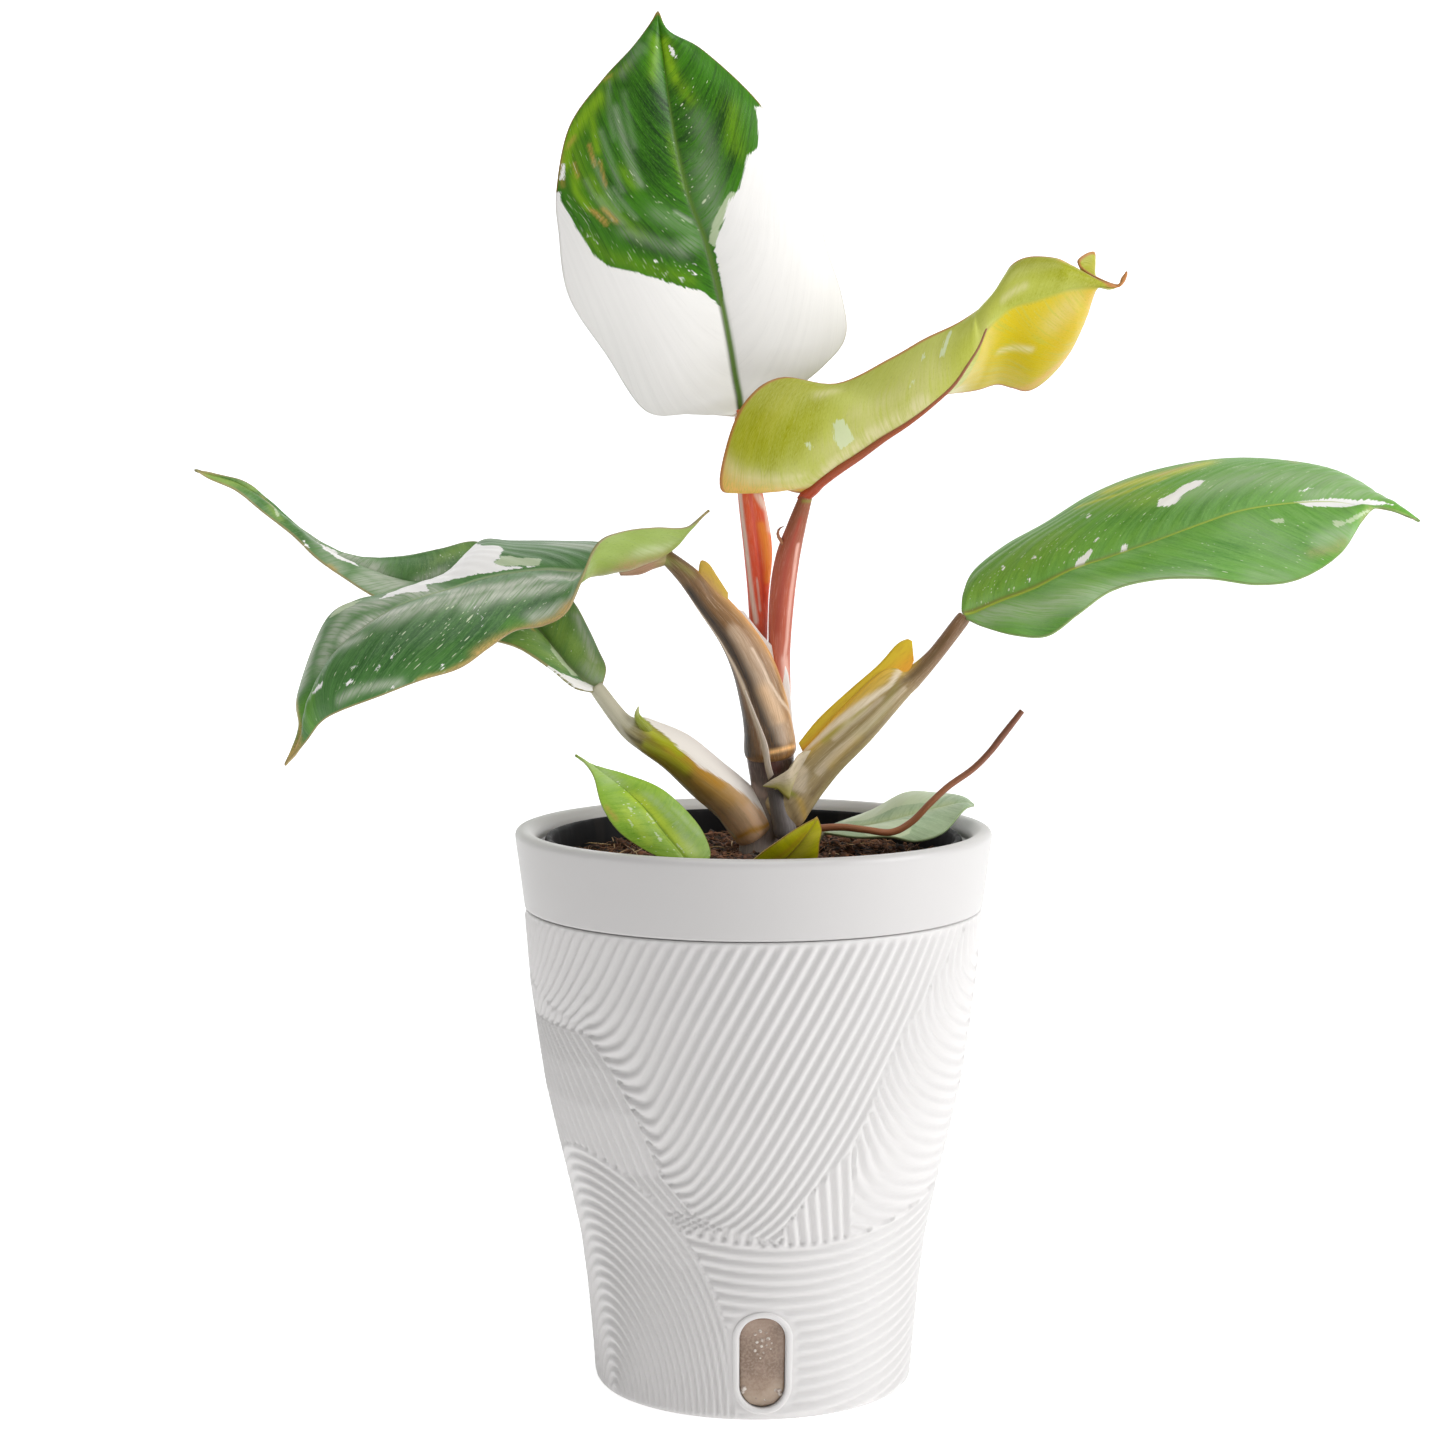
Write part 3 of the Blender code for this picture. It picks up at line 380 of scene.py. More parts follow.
for vert in bm.verts:
    aside, depth, height = turn_back @ vert.co
    radius = float(shell_radius(height / MM)) * MM - depth
    angle = aside / (BASE_RADIUS * MM) + math.radians(WINDOW_TURN)
    vert.co = (radius * math.sin(angle), -radius * math.cos(angle), height)
bmesh.ops.recalc_face_normals(bm, faces=bm.faces[:])
bead = plain_mesh("window_bead", bm, raked_white)
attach(bead, "root")

# Water window.
# A smoked clear plastic pane sits in the opening; behind it droplets and a faint water line show.
PANE_INSET, PANE_THICKNESS = 0.9, 1.1
PANE_CLEARANCE = 0.15
WATER_LINE = 11.5
smoked = Finish("smoked clear plastic")
haze = smoked.noise(smoked.place(), 120.0, 4.0)
level = smoked.plus(smoked.parts(smoked.place())[2], smoked.times(haze, 0.003))
wet = smoked.ramp(level, (WATER_LINE - 1) * MM, (WATER_LINE + 4) * MM)
dry_tone = smoked.mix(smoked.ramp(haze, 0.35, 0.65), (0.22, 0.15, 0.11), (0.33, 0.235, 0.18))
wet_tone = smoked.mix(smoked.ramp(haze, 0.4, 0.6), (0.31, 0.22, 0.16), (0.43, 0.33, 0.25))
speckle = smoked.ramp(smoked.noise(smoked.place(), 1500.0, 2.0), 0.42, 0.62, 0.0, 0.35)
smoked_pane = smoked.finish(
    Base_Color=smoked.mix(speckle, smoked.mix(wet, wet_tone, dry_tone), (0.42, 0.33, 0.26)),
    Roughness=0.24, Specular_IOR_Level=0.35, Normal=smoked.bump(speckle, 0.3, 0.0003),
)


def pane(bm, sides=20, rows=28):
    """Adds a sheet in the window's outline, bent to the shell."""
    made = bmesh.ops.create_grid(bm, x_segments=sides, y_segments=rows, size=1)["verts"]
    radius = WINDOW_WIDTH / 2 - PANE_CLEARANCE
    reach = (WINDOW_HEIGHT - WINDOW_WIDTH) / 2
    for vert in made:
        up = vert.co.y * (reach + radius)
        over = max(abs(up) - reach, 0)
        half = math.sqrt(max(radius ** 2 - over ** 2, 0.0))
        angle = vert.co.x * half / BASE_RADIUS + math.radians(WINDOW_TURN)
        height = WINDOW_CENTRE + up
        out = float(shell_radius(height)) - PANE_INSET
        vert.co = Vector((out * math.sin(angle), -out * math.cos(angle), height)) * MM


def thicken(piece, thickness, offset=0):
    """Gives a sheet its wall in mm, to both sides, or inwards only for an offset of -1."""
    wall = piece.modifiers.new("Thickness", "SOLIDIFY")
    wall.thickness, wall.offset = thickness * MM, offset
    return wall


bm = bmesh.new()
pane(bm)
bmesh.ops.remove_doubles(bm, verts=bm.verts[:], dist=0.00002)
bmesh.ops.recalc_face_normals(bm, faces=bm.faces[:])
window = plain_mesh("window_pane", bm, smoked_pane)
thicken(window, PANE_THICKNESS, -1)
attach(window, "root")
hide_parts("level_window")

# Droplets on the pane: mm aside, mm up from the window's middle, mm across. The beads low at the left and right
# stand for glints of light near the water line: painted highlights.
DROPLETS = (
    (-1.9, 7.8, 0.9), (-0.6, 8.6, 1.1), (0.9, 8.1, 0.8), (1.5, 6.4, 1.2), (0.1, 6.2, 1.3), (-1.4, 5.6, 0.9),
    (-0.2, 4.4, 0.8), (1.1, 4.6, 0.7), (-1.9, 3.2, 0.9), (-1.2, 2.2, 0.6), (0.4, 2.6, 0.7), (-0.5, 1.1, 0.5),
    (2.4, 5.2, 0.6), (2.2, 3.6, 0.5), (-4.9, -7.3, 1.7), (-5.1, -8.3, 1.0), (4.6, -8.2, 1.6), (5.0, -9.2, 1.2),
    (3.7, -7.9, 0.9), (-1.6, -10.1, 0.6), (0.8, -10.6, 0.7),
)
DROPLET_FLATNESS = 0.36
wet_bead = Finish("water droplets and glints")
# Lighter patches in the beads' colour are painted glints.
shimmer = wet_bead.noise(wet_bead.place(), 900.0, 2.0)
water_beads = wet_bead.finish(
    Base_Color=wet_bead.mix(wet_bead.ramp(shimmer, 0.4, 0.6), (0.34, 0.26, 0.21), (0.62, 0.56, 0.50)),
    Roughness=0.08, IOR=1.33, Coat_Weight=0.5,
)
bm = bmesh.new()
for aside, up, size in DROPLETS:
    height = WINDOW_CENTRE + up
    out = float(shell_radius(height)) - PANE_INSET
    angle = aside / BASE_RADIUS + math.radians(WINDOW_TURN)
    spot = Matrix.Translation(Vector((out * math.sin(angle), -out * math.cos(angle), height)) * MM)
    turn = Matrix.Rotation(angle, 4, "Z")
    flat = Matrix.Diagonal((1, DROPLET_FLATNESS, 1, 1))
    bmesh.ops.create_icosphere(bm, subdivisions=2, radius=size * MM / 2, matrix=spot @ turn @ flat)
droplets = plain_mesh("window_droplets_and_glints", bm, water_beads)
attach(droplets, "root")

# Grow liner.
# The upper planter is a second white moulding: a smooth plain collar with a rolled lip on the
# outside, and a cup that hangs inside the shell and holds the nursery pot over the water.
RIM_HEIGHT, RIM_RADIUS, COLLAR_BASE = 152.9, 65.2, 62.6
COLLAR_BORE, COLLAR_ROOF = 61.3, 148.5
WICK_HOLE = 3.3
LINER_TURNS = 128
# This white is set darker than the shell's, though both are one plastic: painted shade on the collar.
collar_white = moulded("smooth white plastic", (0.565, 0.552, 0.547), 0.36, 0.03)
# Outlines as (radius, height) in mm: the lip over the rim, the collar's lower edge over the seam and the cup.
lip = rounded([(COLLAR_BASE + 1.4, SEAM_HEIGHT + 12)] + [
    (RIM_RADIUS - inwards, RIM_HEIGHT + up)
    for inwards, up in ((0.35, -3.4), (0.1, -0.9), (1.6, 0.15), (4.2, -0.1), (6.4, -2.9))
] + [(57.0, 138)])
lower_edge = [
    (COLLAR_BORE, SEAM_HEIGHT + 0.35), (COLLAR_BASE - 0.5, SEAM_HEIGHT + 0.3),
    (COLLAR_BASE - 0.1, SEAM_HEIGHT + 0.55), (COLLAR_BASE + 0.02, SEAM_HEIGHT + 1.1),
]
cup_inside = [(56.8, 131), (54.9, 105), (51.2, 83), (46.0, 60), (41.0, 40), (WICK_HOLE, 40)]
cup_outside = [(42.4, 38), (47.7, 60), (52.9, 83), (56.6, 105), (58.4, 131), (58.5, COLLAR_ROOF)]
outline = [(WICK_HOLE, 40), (WICK_HOLE, 38), *cup_outside, (COLLAR_BORE, COLLAR_ROOF)]
liner = turned("grow_liner_collar", outline + lower_edge + lip + cup_inside, LINER_TURNS, collar_white)
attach(liner, "root")
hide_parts("grow_liner")

# Nursery pot.
# The plant still stands in its thin black nursery pot, whose rolled rim shows inside the white lip.
NURSERY_TURNS = 80
black = Finish("thin black plastic")
scuffs = black.noise(black.place((1, 1, 0.15)), 220.0, 4.0)
nursery_black = black.finish(
    Base_Color=black.mix(black.ramp(scuffs, 0.45, 0.75), (0.005, 0.005, 0.006), (0.020, 0.018, 0.017)),
    Roughness=black.ramp(scuffs, 0.3, 0.7, 0.5, 0.7), Specular_IOR_Level=0.15,
    Normal=black.bump(scuffs, 0.2, 0.0002),
)
rim = rounded((
    (55.5, 146.6), (56.75, 147.2), (57.1, 149.0), (56.7, 150.7), (55.2, 150.6), (54.7, 149.0), (54.2, 146),
), 3)
outline = [(WICK_HOLE, 41.8), (WICK_HOLE, 40.3), (39.6, 40.3), (44.4, 60), (52.0, 105)]
outline += rim + [(50.7, 105), (43.1, 60), (38.6, 41.8), (WICK_HOLE, 41.8)]
nursery = turned("nursery_pot_rim", outline, NURSERY_TURNS, nursery_black)
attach(nursery, "root")
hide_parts("nursery_pot")

# Wick.
# A twisted cotton cord stands in the water and feeds the soil through the holes in both pots.
cotton = Finish("twisted cotton")
strands = cotton.node("ShaderNodeTexWave", {"bands_direction": "DIAGONAL"},
                      {"Vector": cotton.place(), "Scale": 320.0})
cotton_cord = cotton.finish(
    Base_Color=cotton.mix(strands, (0.62, 0.57, 0.48), (0.82, 0.78, 0.70)),
    Roughness=0.9, Normal=cotton.bump(strands, 0.8, 0.0005),
)
wick_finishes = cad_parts["wick"].data.materials
wick_finishes.clear()
wick_finishes.append(cotton_cord)

# Potting mix.
# Dark peat and bark fill the nursery pot; crumbs of bark, loose coir fibres and a few straws lie on its
# top.
SOIL_RADIUS, SOIL_HEIGHT, SOIL_FLOOR = 53.1, 145.6, 42.2
SOIL_TURNS, SOIL_RINGS = 220, 64
SOIL_DROP, WICK_PIT = 1.6, 60.3
CRUMBS, FIBRES, STRAWS = 1100, 420, 34
rng = np.random.default_rng(11)
earth = Finish("peat and bark")
clods = earth.noise(earth.place(), 260.0, 6.0, 0.7)
flecks = earth.ramp(earth.noise(earth.place(), 700.0, 3.0), 0.60, 0.70)
dark_tone = earth.mix(earth.ramp(clods, 0.35, 0.65), (0.008, 0.005, 0.004), (0.085, 0.042, 0.025))
peat = earth.finish(
    Base_Color=earth.mix(flecks, dark_tone, (0.26, 0.135, 0.07)), Roughness=0.95,
    Normal=earth.bump(clods, 0.9, 0.0012),
)
bark = Finish("bark crumbs")
fray = bark.noise(bark.place((1, 1, 2)), 420.0, 4.0)
bark_crumbs = bark.finish(
    Base_Color=bark.mix(bark.ramp(fray, 0.35, 0.7), (0.012, 0.007, 0.005), (0.25, 0.105, 0.052)),
    Roughness=0.9, Normal=bark.bump(fray, 0.6, 0.0006),
)


def soil_top(x, y):
    """Height in mm of the soil at a place in mm."""
    broad = math.sin(x * 0.31 + 1) * math.cos(y * 0.27)
    clod = noise.noise((x * 0.16, y * 0.16, 2.0)) + 0.55 * noise.noise((x * 0.5, y * 0.5, 7.0))
    crumb = 0.45 * noise.noise((x * 1.3, y * 1.3, 4.0))
    drop = SOIL_DROP * (x * x + y * y) / SOIL_RADIUS ** 2
    return SOIL_HEIGHT + 0.35 * broad - 0.4 + 1.0 * clod + crumb - drop


outline = [(0, WICK_PIT), (WICK_HOLE, WICK_PIT), (WICK_HOLE, SOIL_FLOOR), (38.2, SOIL_FLOOR), (42.7, 60)]
outline += [(50.1, 105), (53.0, 142)]
outline += [(SOIL_RADIUS * (1 - ring / SOIL_RINGS) ** 0.8, SOIL_HEIGHT) for ring in range(SOIL_RINGS + 1)]
soil = turned("potting_mix_crumbly", outline, SOIL_TURNS, peat)
for vert in soil.data.vertices:
    if vert.co.z > (SOIL_HEIGHT - 0.1) * MM:
        vert.co.z = soil_top(vert.co.x / MM, vert.co.y / MM) * MM
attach(soil, "root")
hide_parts("potting_mix")

bm = bmesh.new()
for _ in range(CRUMBS):
    angle, reach = rng.uniform(0, math.tau), SOIL_RADIUS * math.sqrt(rng.uniform(0, 0.93))
    x, y = reach * math.cos(angle), reach * math.sin(angle)
    size = rng.uniform(0.5, 1.7)
    spot = Matrix.Translation(Vector((x, y, soil_top(x, y) + size * 0.25)) * MM)
    tilt = Matrix.Rotation(rng.uniform(0, math.tau), 4, Vector(rng.normal(size=3)).normalized())
    stretch = Matrix.Diagonal((*(rng.uniform(0.5, 1.3, 3) * size * MM), 1))
    made = bmesh.ops.create_icosphere(bm, subdivisions=1, radius=1, matrix=spot @ tilt @ stretch)["verts"]
    for vert in made:
        vert.co += Vector(rng.normal(size=3)) * size * 0.09 * MM
crumbs = plain_mesh("bark_crumbs", bm, bark_crumbs)
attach(crumbs, "root")


def strand(bm, points, radius):
    """A three-sided fibre through places in mm, thinner at both ends."""
    aside = Vector(rng.normal(size=3))
    rings = []
    for index, (spot, ahead) in enumerate(zip(points, np.gradient(points, axis=0))):
        side = Vector(ahead).cross(aside).normalized()
        other = side.cross(Vector(ahead)).normalized()
        thick = radius * (1 - 0.6 * abs(2 * index / (len(points) - 1) - 1) ** 2)
        rings.append([
            bm.verts.new((Vector(spot) + (side * math.cos(turn) + other * math.sin(turn)) * thick) * MM)
            for turn in (0, math.tau / 3, 2 * math.tau / 3)
        ])
    for first, second in zip(rings, rings[1:]):
        for k in range(3):
            bm.faces.new((first[k], first[k - 1], second[k - 1], second[k]))
    bm.faces.new(rings[0])
    bm.faces.new(rings[-1][::-1])


def loose_strands(name, count, reaches, radii, lift, finish):
    """Fibres lying about on the soil, some with a free end in the air."""
    bm = bmesh.new()
    for _ in range(count):
        angle, far = rng.uniform(0, math.tau), (SOIL_RADIUS - 4) * math.sqrt(rng.uniform(0, 1))
        heading, curl = rng.uniform(0, math.tau), rng.uniform(-1.3, 1.3)
        length, top = rng.uniform(*reaches), rng.uniform(0.2, lift)
        x, y, points = far * math.cos(angle), far * math.sin(angle), []
        for share in np.linspace(0, 1, 8):
            inside = min(1, (SOIL_RADIUS - 1.5) / max(math.hypot(x, y), 1e-6))
            height = soil_top(x * inside, y * inside) + 0.15 + top * share * rng.uniform(0.8, 1.2)
            points.append((x * inside, y * inside, height))
            x += length / 7 * math.cos(heading + curl * share)
            y += length / 7 * math.sin(heading + curl * share)
        strand(bm, np.array(points), rng.uniform(*radii))
    bmesh.ops.recalc_face_normals(bm, faces=bm.faces[:])
    made = plain_mesh(name, bm, finish)
    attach(made, "root")


def fibre_finish(name, dark, light):
    fibre = Finish(name)
    drift = fibre.noise(fibre.place(), 190.0, 3.0)
    return fibre.finish(Base_Color=fibre.mix(fibre.ramp(drift, 0.35, 0.65), dark, light), Roughness=0.75)


loose_strands("coir_fibres", FIBRES, (4, 13), (0.09, 0.17), 2.2,
              fibre_finish("coir fibre", (0.10, 0.038, 0.018), (0.44, 0.22, 0.11)))
loose_strands("straws", STRAWS, (8, 19), (0.16, 0.26), 3.0,
              fibre_finish("straw", (0.34, 0.19, 0.09), (0.66, 0.46, 0.25)))

# Stem and stalks.
# Each leaf stalk rises from a ring on the short stem and clasps it with a sheath whose free edge
# stands up as a thin wing. Tables are in mm; they write the two or three numbers of a place together.
STALK_TURNS, STALK_STEP, STALK_ARC = 72, 0.5, 0.07
ROOTED, JOINED = 2.4, 1.6
ROUNDED = 0.6
WING_SPREAD = 0.42
# Name: places along the middle, radii there, how far the wing stands out and on which side, slot.
STALKS = {
    "main_stem": ((1,0,128, 1.5,0,149.5, 4.6,0,157, 4.9,0,164.5, 4.6,0,172.3), (5, 5.2, 4.8, 5.6, 6.4), (0, 0),
                  1, "stem"),
    "petiole_1": ((0.5,3,173.4, 1.2,3.5,187, 1.4,4,201, 0.8,4.2,214.5, -0.5,4.2,228, -2,5,242, -2.8,6.5,254,
                   -3.4,8,264.5), (2.3, 2.3, 2.4, 2.3, 2.2, 2.2, 2, 1.8), (0, 0, 0, 1, 3.4, 2.6, 0, 0), -1,
                  "rose_stalk"),
    "petiole_2": ((6.6,1,173.4, 7.2,1,187.5, 7,0.5,201, 7.6,-1,215, 9,-4,226, 11.5,-7,235.5, 13.8,-8,242.8),
                  (2.7, 2.9, 3, 3.4, 3.3, 2.5, 1.8), (0, 0), 1, "rose_stalk"),
    "petiole_3": ((8,-2.6,157.4, 11,-3,161.5, 15,-3,166.2, 20.6,-3,172.2, 29.3,-3,180, 39.4,-2.5,190.3,
                   43.3,-2,193.6, 49.2,-1.5,200.1, 56.3,-1,209.3), (6.1, 6, 5.4, 4.8, 4, 3, 2.5, 2.1, 2),
                  (0, 0.3, 1, 1.8, 3.8, 4.4, 1.2, 0, 0), 1, "olive_stalk"),
    "petiole_4": ((4.6,-0.8,173.4, 3.8,-1.5,180, 2.3,-2.5,186.7, -1,-3,196.6, -5.3,-3,205, -12.3,-3,213.7,
                   -17.8,-3,221.3, -24.2,-2.3,227.2), (7, 6.5, 5.9, 4.9, 4.2, 3.1, 2.8, 1.9),
                  (0, 0.3, 1, 1.9, 1.6, 2, 0.3, 0), -1, "bronze_stalk"),
    "petiole_5": ((0.6,0,152.2, -5.3,-1,159.8, -12.7,-2,166.2, -20.8,-2,173, -28.2,-2,176.9, -32.5,-2,178.9,
                   -36,-1.5,182, -42.1,-0.3,190.1), (6.4, 6.2, 6, 5.3, 4.1, 3, 2.4, 2.1),
                  (0, 0.2, 0.4, 0.9, 1.4, 2, 0.3, 0), -1, "olive_stalk"),
    "petiole_6": ((-14,-32,134, -15.5,-34,140, -17.4,-35.5,146.2), (1.6, 1.4, 1.2), (0, 0), 1, "olive_stalk"),
    "petiole_7": ((3,-38,134, 4,-42,140, 4.8,-44.4,146.1), (1.5, 1.3, 1.1), (0, 0), 1, "olive_stalk"),
    "petiole_8": ((14,4,140, 15.5,2.5,146, 18.4,1.2,150.6), (1.6, 1.4, 1.1), (0, 0), 1, "olive_stalk"),
    "aerial_root": ((8,-2.3,151.8, 11.5,-4.8,152, 16,-7.2,153.2, 23.5,-9.5,154, 30,-11,153.5, 37,-11,152.8,
                     42.5,-10.5,155.5, 47.5,-10,160.5, 52.5,-9,165, 59,-8,169.5, 63.5,-8,174, 67,-8,178.5,
                     72,-8,185), (1.2, 1.1, 1, 1, 0.95, 0.95, 0.95, 0.9, 0.9, 0.9, 0.9, 0.95, 0.8), (0, 0), 1,
                    "rose_stalk"),
}
# Marks on the stalks' skins rolled flat, round from the back and along. Dry membranes are closed
# outlines; every other mark is a stroke: how strong, how wide, then its places.
STALK_MARKS = {
    "petiole_4": {
        "light": (
            (1, 0.45, 18.9,56.4, 18.9,52.8, 17.4,44.8, 17.3,39.6, 16.8,32.8), (1, 0.6, 16.8,32.8, 15.2,22.1),
            (1, 0.5, 15.2,22.1, 14.1,11.2, 13.3,1.1), (0.8, 0.4, 9.9,31.6, 9.7,23.4, 8.5,18.2, 6.3,12.1),
            (0.4, 2, 11.5,36.9, 11.5,28.5, 10.8,18, 9.6,6),
        ),
        # These dark strokes are painted shade: the stalk's shaded left side and the shadow band beside its pale
        # stripe.
        "dark": (
            (0.95, 2.2, 15.5,50.3, 15,42.2, 14.8,33, 13.6,22.3, 12.4,11.8, 11.7,2.8),
            (1, 2.6, 19.4,42.8, 19.4,32.1, 18.6,20.8, 17.4,8.9, 16.9,1.5), (0.6, 1, 18.3,58.5, 18.9,48.5),
        ),
        "warm": (
            (0.8, 1.3, 6.3,49.2, 6.3,45.7, 6.3,39.2, 6.3,31.4, 5.7,22.1, 6.3,13.6, 6.3,2.9),
            (1, 1, 6.3,52.8, 6.3,49.9), (1, 0.9, 12.3,2.4, 10,2.9, 6.3,2.1), (0.5, 1.5, 11.2,21.7, 10,13.1),
        ),
        "fresh": ((1, 2, 17,62.8, 14.2,60.8), (0.4, 1.5, 12.4,60.5, 10.4,54.4)),
    },
    "petiole_3": {
        "light": (
            (1, 0.5, 6.3,5.7, 6.7,11.3, 6.3,17.8, 7.1,25.7, 7.3,31.1, 7.9,38.1, 8.8,43.8, 6.3,54.1, 6.3,57.6),
            # The first, wide stroke on the next line, near the stalk's foot, is a painted highlight.
            (0.7, 2, 9,12.1, 11.4,14.2, 9.7,18.6), (0.4, 1, 12.6,22, 12.4,34, 13,46),
            (0.5, 0.8, 9.4,30.6, 9,34.7, 9.8,40.9),
        ),
        "warm": (
            (1, 2, 6.3,24.2, 6.3,30.6, 6.3,37.7, 6.4,44.4, 6.3,56.9), (0.5, 1, 13.5,10.3, 18.9,2.8),
            (0.25, 1.2, 13.2,34, 13.5,25.7),
        ),
        "fresh": (
            (1, 1, 6.3,5, 9.2,8.3, 11.5,10.4), (0.25, 1.3, 10.1,44.7, 13.2,39.9, 12.5,34.4),
            (0.5, 0.8, 8.1,28.7, 8.8,38.2), (0.8, 1.2, 6.3,48.4, 6.3,58.3),
        ),
        "dark": (
            (0.6, 1.5, 10.4,48.6, 12,60.4, 11.5,66), (0.4, 1, 14.9,14.7, 14.7,24.3, 14.5,33.8, 16.4,40.2),
            (0.5, 1, 12.6,6.4, 16.1,1.3),
        ),
    },
    "petiole_5": {
        "dry": (
            (6.3,44.6, 7.5,36.8, 9.2,30.8, 11.1,25.1, 11.4,19.7, 10.7,15, 10.2,9.8, 9.5,3.9, 9.5,0, 9.5,0,
             4.2,0, 4.2,41.8),
        ),
        "light": (
            (1, 1.2, 14.6,56.3, 14.3,49.6, 18.3,34, 18.3,24.8, 18,17.5),
            (0.9, 0.4, 18.9,14.2, 18.3,8.5, 18.3,2.1), (0.8, 0.4, 16.8,12.9, 17.8,6.7, 16.5,2.4),
            (0.9, 3, 12,58.1, 11.3,53.9, 9.5,46.9),
        ),
        "dark": (
            (0.8, 0.7, 14.7,49.8, 14,36.9, 14.6,28.6, 14.2,19.7), (0.3, 1.2, 18.3,12.8, 18.3,5.7),
            (0.4, 1, 14,36.9, 14.8,22, 14.2,14.5),
        ),
        "fresh": (
            (1, 1.5, 6.3,45.3, 8.9,37.4, 10.9,30.6, 11.7,24.7), (0.8, 1.5, 14.1,34.2, 13.8,27.6, 13.4,21.8),
        ),
        "warm": (
            (1, 1.7, 12.4,27, 12,20, 11.5,14), (0.5, 1.1, 11.3,14, 10.9,8),
            (1, 0.8, 16.7,2.2, 13.1,2, 10.7,0.3, 8.8,0), (0.6, 2, 13.2,18, 12.5,10.4),
        ),
    },
    "petiole_1": {
        "light": (
            (1, 1.3, 16.3,92, 15.9,67.4, 15.7,60.1, 15.3,50.1, 14.7,39.5, 13.5,34.1),
            (0.8, 0.8, 7.9,66.2, 6.3,61.8, 6.3,56.8), (0.6, 0.6, 11.5,44.7, 11.2,36.7),
        ),
        "warm": ((1, 0.9, 7.8,58.4, 7.4,52.6, 7.1,46.9, 7.2,44.3),),
        "dark": ((0.8, 0.8, 10.3,67.1, 9.7,57.4, 9.1,48.5, 8.6,39.2),),
    },
    "petiole_2": {
        "light": (
            (0.9, 0.8, 15.3,53.8, 15.8,44, 15.6,34.9, 15.4,26.6, 14.3,20.6),
            (0.6, 0.6, 6.5,51.4, 6.4,37.9, 6.3,30.6), (1, 1.5, 14.7,21.8, 15.9,14.4),
        ),
        "dark": ((0.8, 1, 13.2,62.1, 12.7,51.9, 12.3,39.3, 11.5,28.9),),
        "fresh": ((1, 1, 11.8,69.5, 18.9,71.2),),
    },
    "main_stem": {
        "dark": ((0.9, 1.3, 12.8,44.3, 13.3,39.5), (0.4, 1.5, 6.9,42.1, 7.8,35.1)),
        "light": (
            (0.8, 1, 15.3,44.9, 18.9,44.9), (0.5, 2, 13.9,28.2, 16.6,22.8), (0.5, 1.5, 7.6,33.8, 10.5,30.3),
        ),
    },
}
# Skin: low, middle and high along the stalk, then light, dark, warm and fresh marks, as display colours.
STALK_TONES = {
    "main_stem": ((146, 138, 134), (156, 142, 134), (84, 70, 64), (206, 176, 164), (88, 36, 24), (150, 90, 60),
                  (130, 130, 80)),
    "petiole_1": ((222, 140, 118), (228, 84, 44), (204, 102, 58), (232, 208, 194), (190, 50, 24),
                  (232, 138, 44), (150, 140, 60)),
    "petiole_2": ((226, 160, 140), (186, 84, 54), (138, 80, 50), (236, 182, 166), (172, 60, 34), (200, 110, 60),
                  (136, 130, 50)),
    "petiole_3": ((190, 166, 124), (166, 146, 100), (130, 96, 66), (238, 222, 196), (88, 68, 32),
                  (232, 190, 62), (152, 158, 44)),
    # The fourth stalk's near-black dark tone serves its streaks and the painted shade of its dark strokes.
    "petiole_4": ((158, 114, 66), (146, 106, 64), (120, 90, 56), (232, 208, 182), (26, 17, 8), (250, 192, 122),
                  (160, 166, 92)),
    "petiole_5": ((242, 198, 158), (142, 122, 14), (196, 190, 164), (206, 200, 178), (74, 62, 4),
                  (204, 148, 46), (180, 184, 10)),
    "stem_internode": ((112, 106, 106), (128, 120, 118), (84, 76, 74), (176, 170, 168), (64, 56, 54),
                       (120, 84, 70), (120, 124, 100)),
    "petiole_5_hook": ((150, 158, 30), (160, 172, 50), (206, 210, 150), (230, 226, 200), (90, 100, 10),
                       (180, 160, 60), (160, 176, 20)),
    "petiole_4_neck": ((160, 150, 96), (172, 134, 104), (176, 140, 112), (214, 190, 160), (120, 90, 62),
                       (190, 150, 110), (150, 160, 80)),
    "leaf_2_midrib": ((172, 62, 24), (156, 80, 44), (148, 104, 72), (186, 110, 70), (140, 52, 26),
                      (190, 90, 50), (140, 130, 50)),
    "petiole_6": ((120, 120, 50), (126, 150, 48), (132, 168, 50), (190, 200, 130), (80, 90, 30), (150, 130, 60),
                  (140, 170, 50)),
    "petiole_7": ((130, 110, 50), (150, 140, 30), (150, 150, 20), (190, 180, 100), (90, 70, 30), (170, 130, 50),
                  (150, 150, 30)),
    "petiole_8": ((150, 130, 90), (176, 170, 130), (186, 190, 160), (220, 214, 190), (110, 90, 60),
                  (180, 150, 100), (160, 180, 110)),
    "aerial_root": ((170, 108, 70), (158, 96, 58), (120, 72, 50), (196, 150, 120), (92, 50, 30), (176, 110, 70),
                    (140, 110, 60)),
}
DRY_TONE = (251, 244, 236)
EDGE_THICKNESS, EDGE_ROWS, EDGE_STRIPS = 0.35, 90, 8
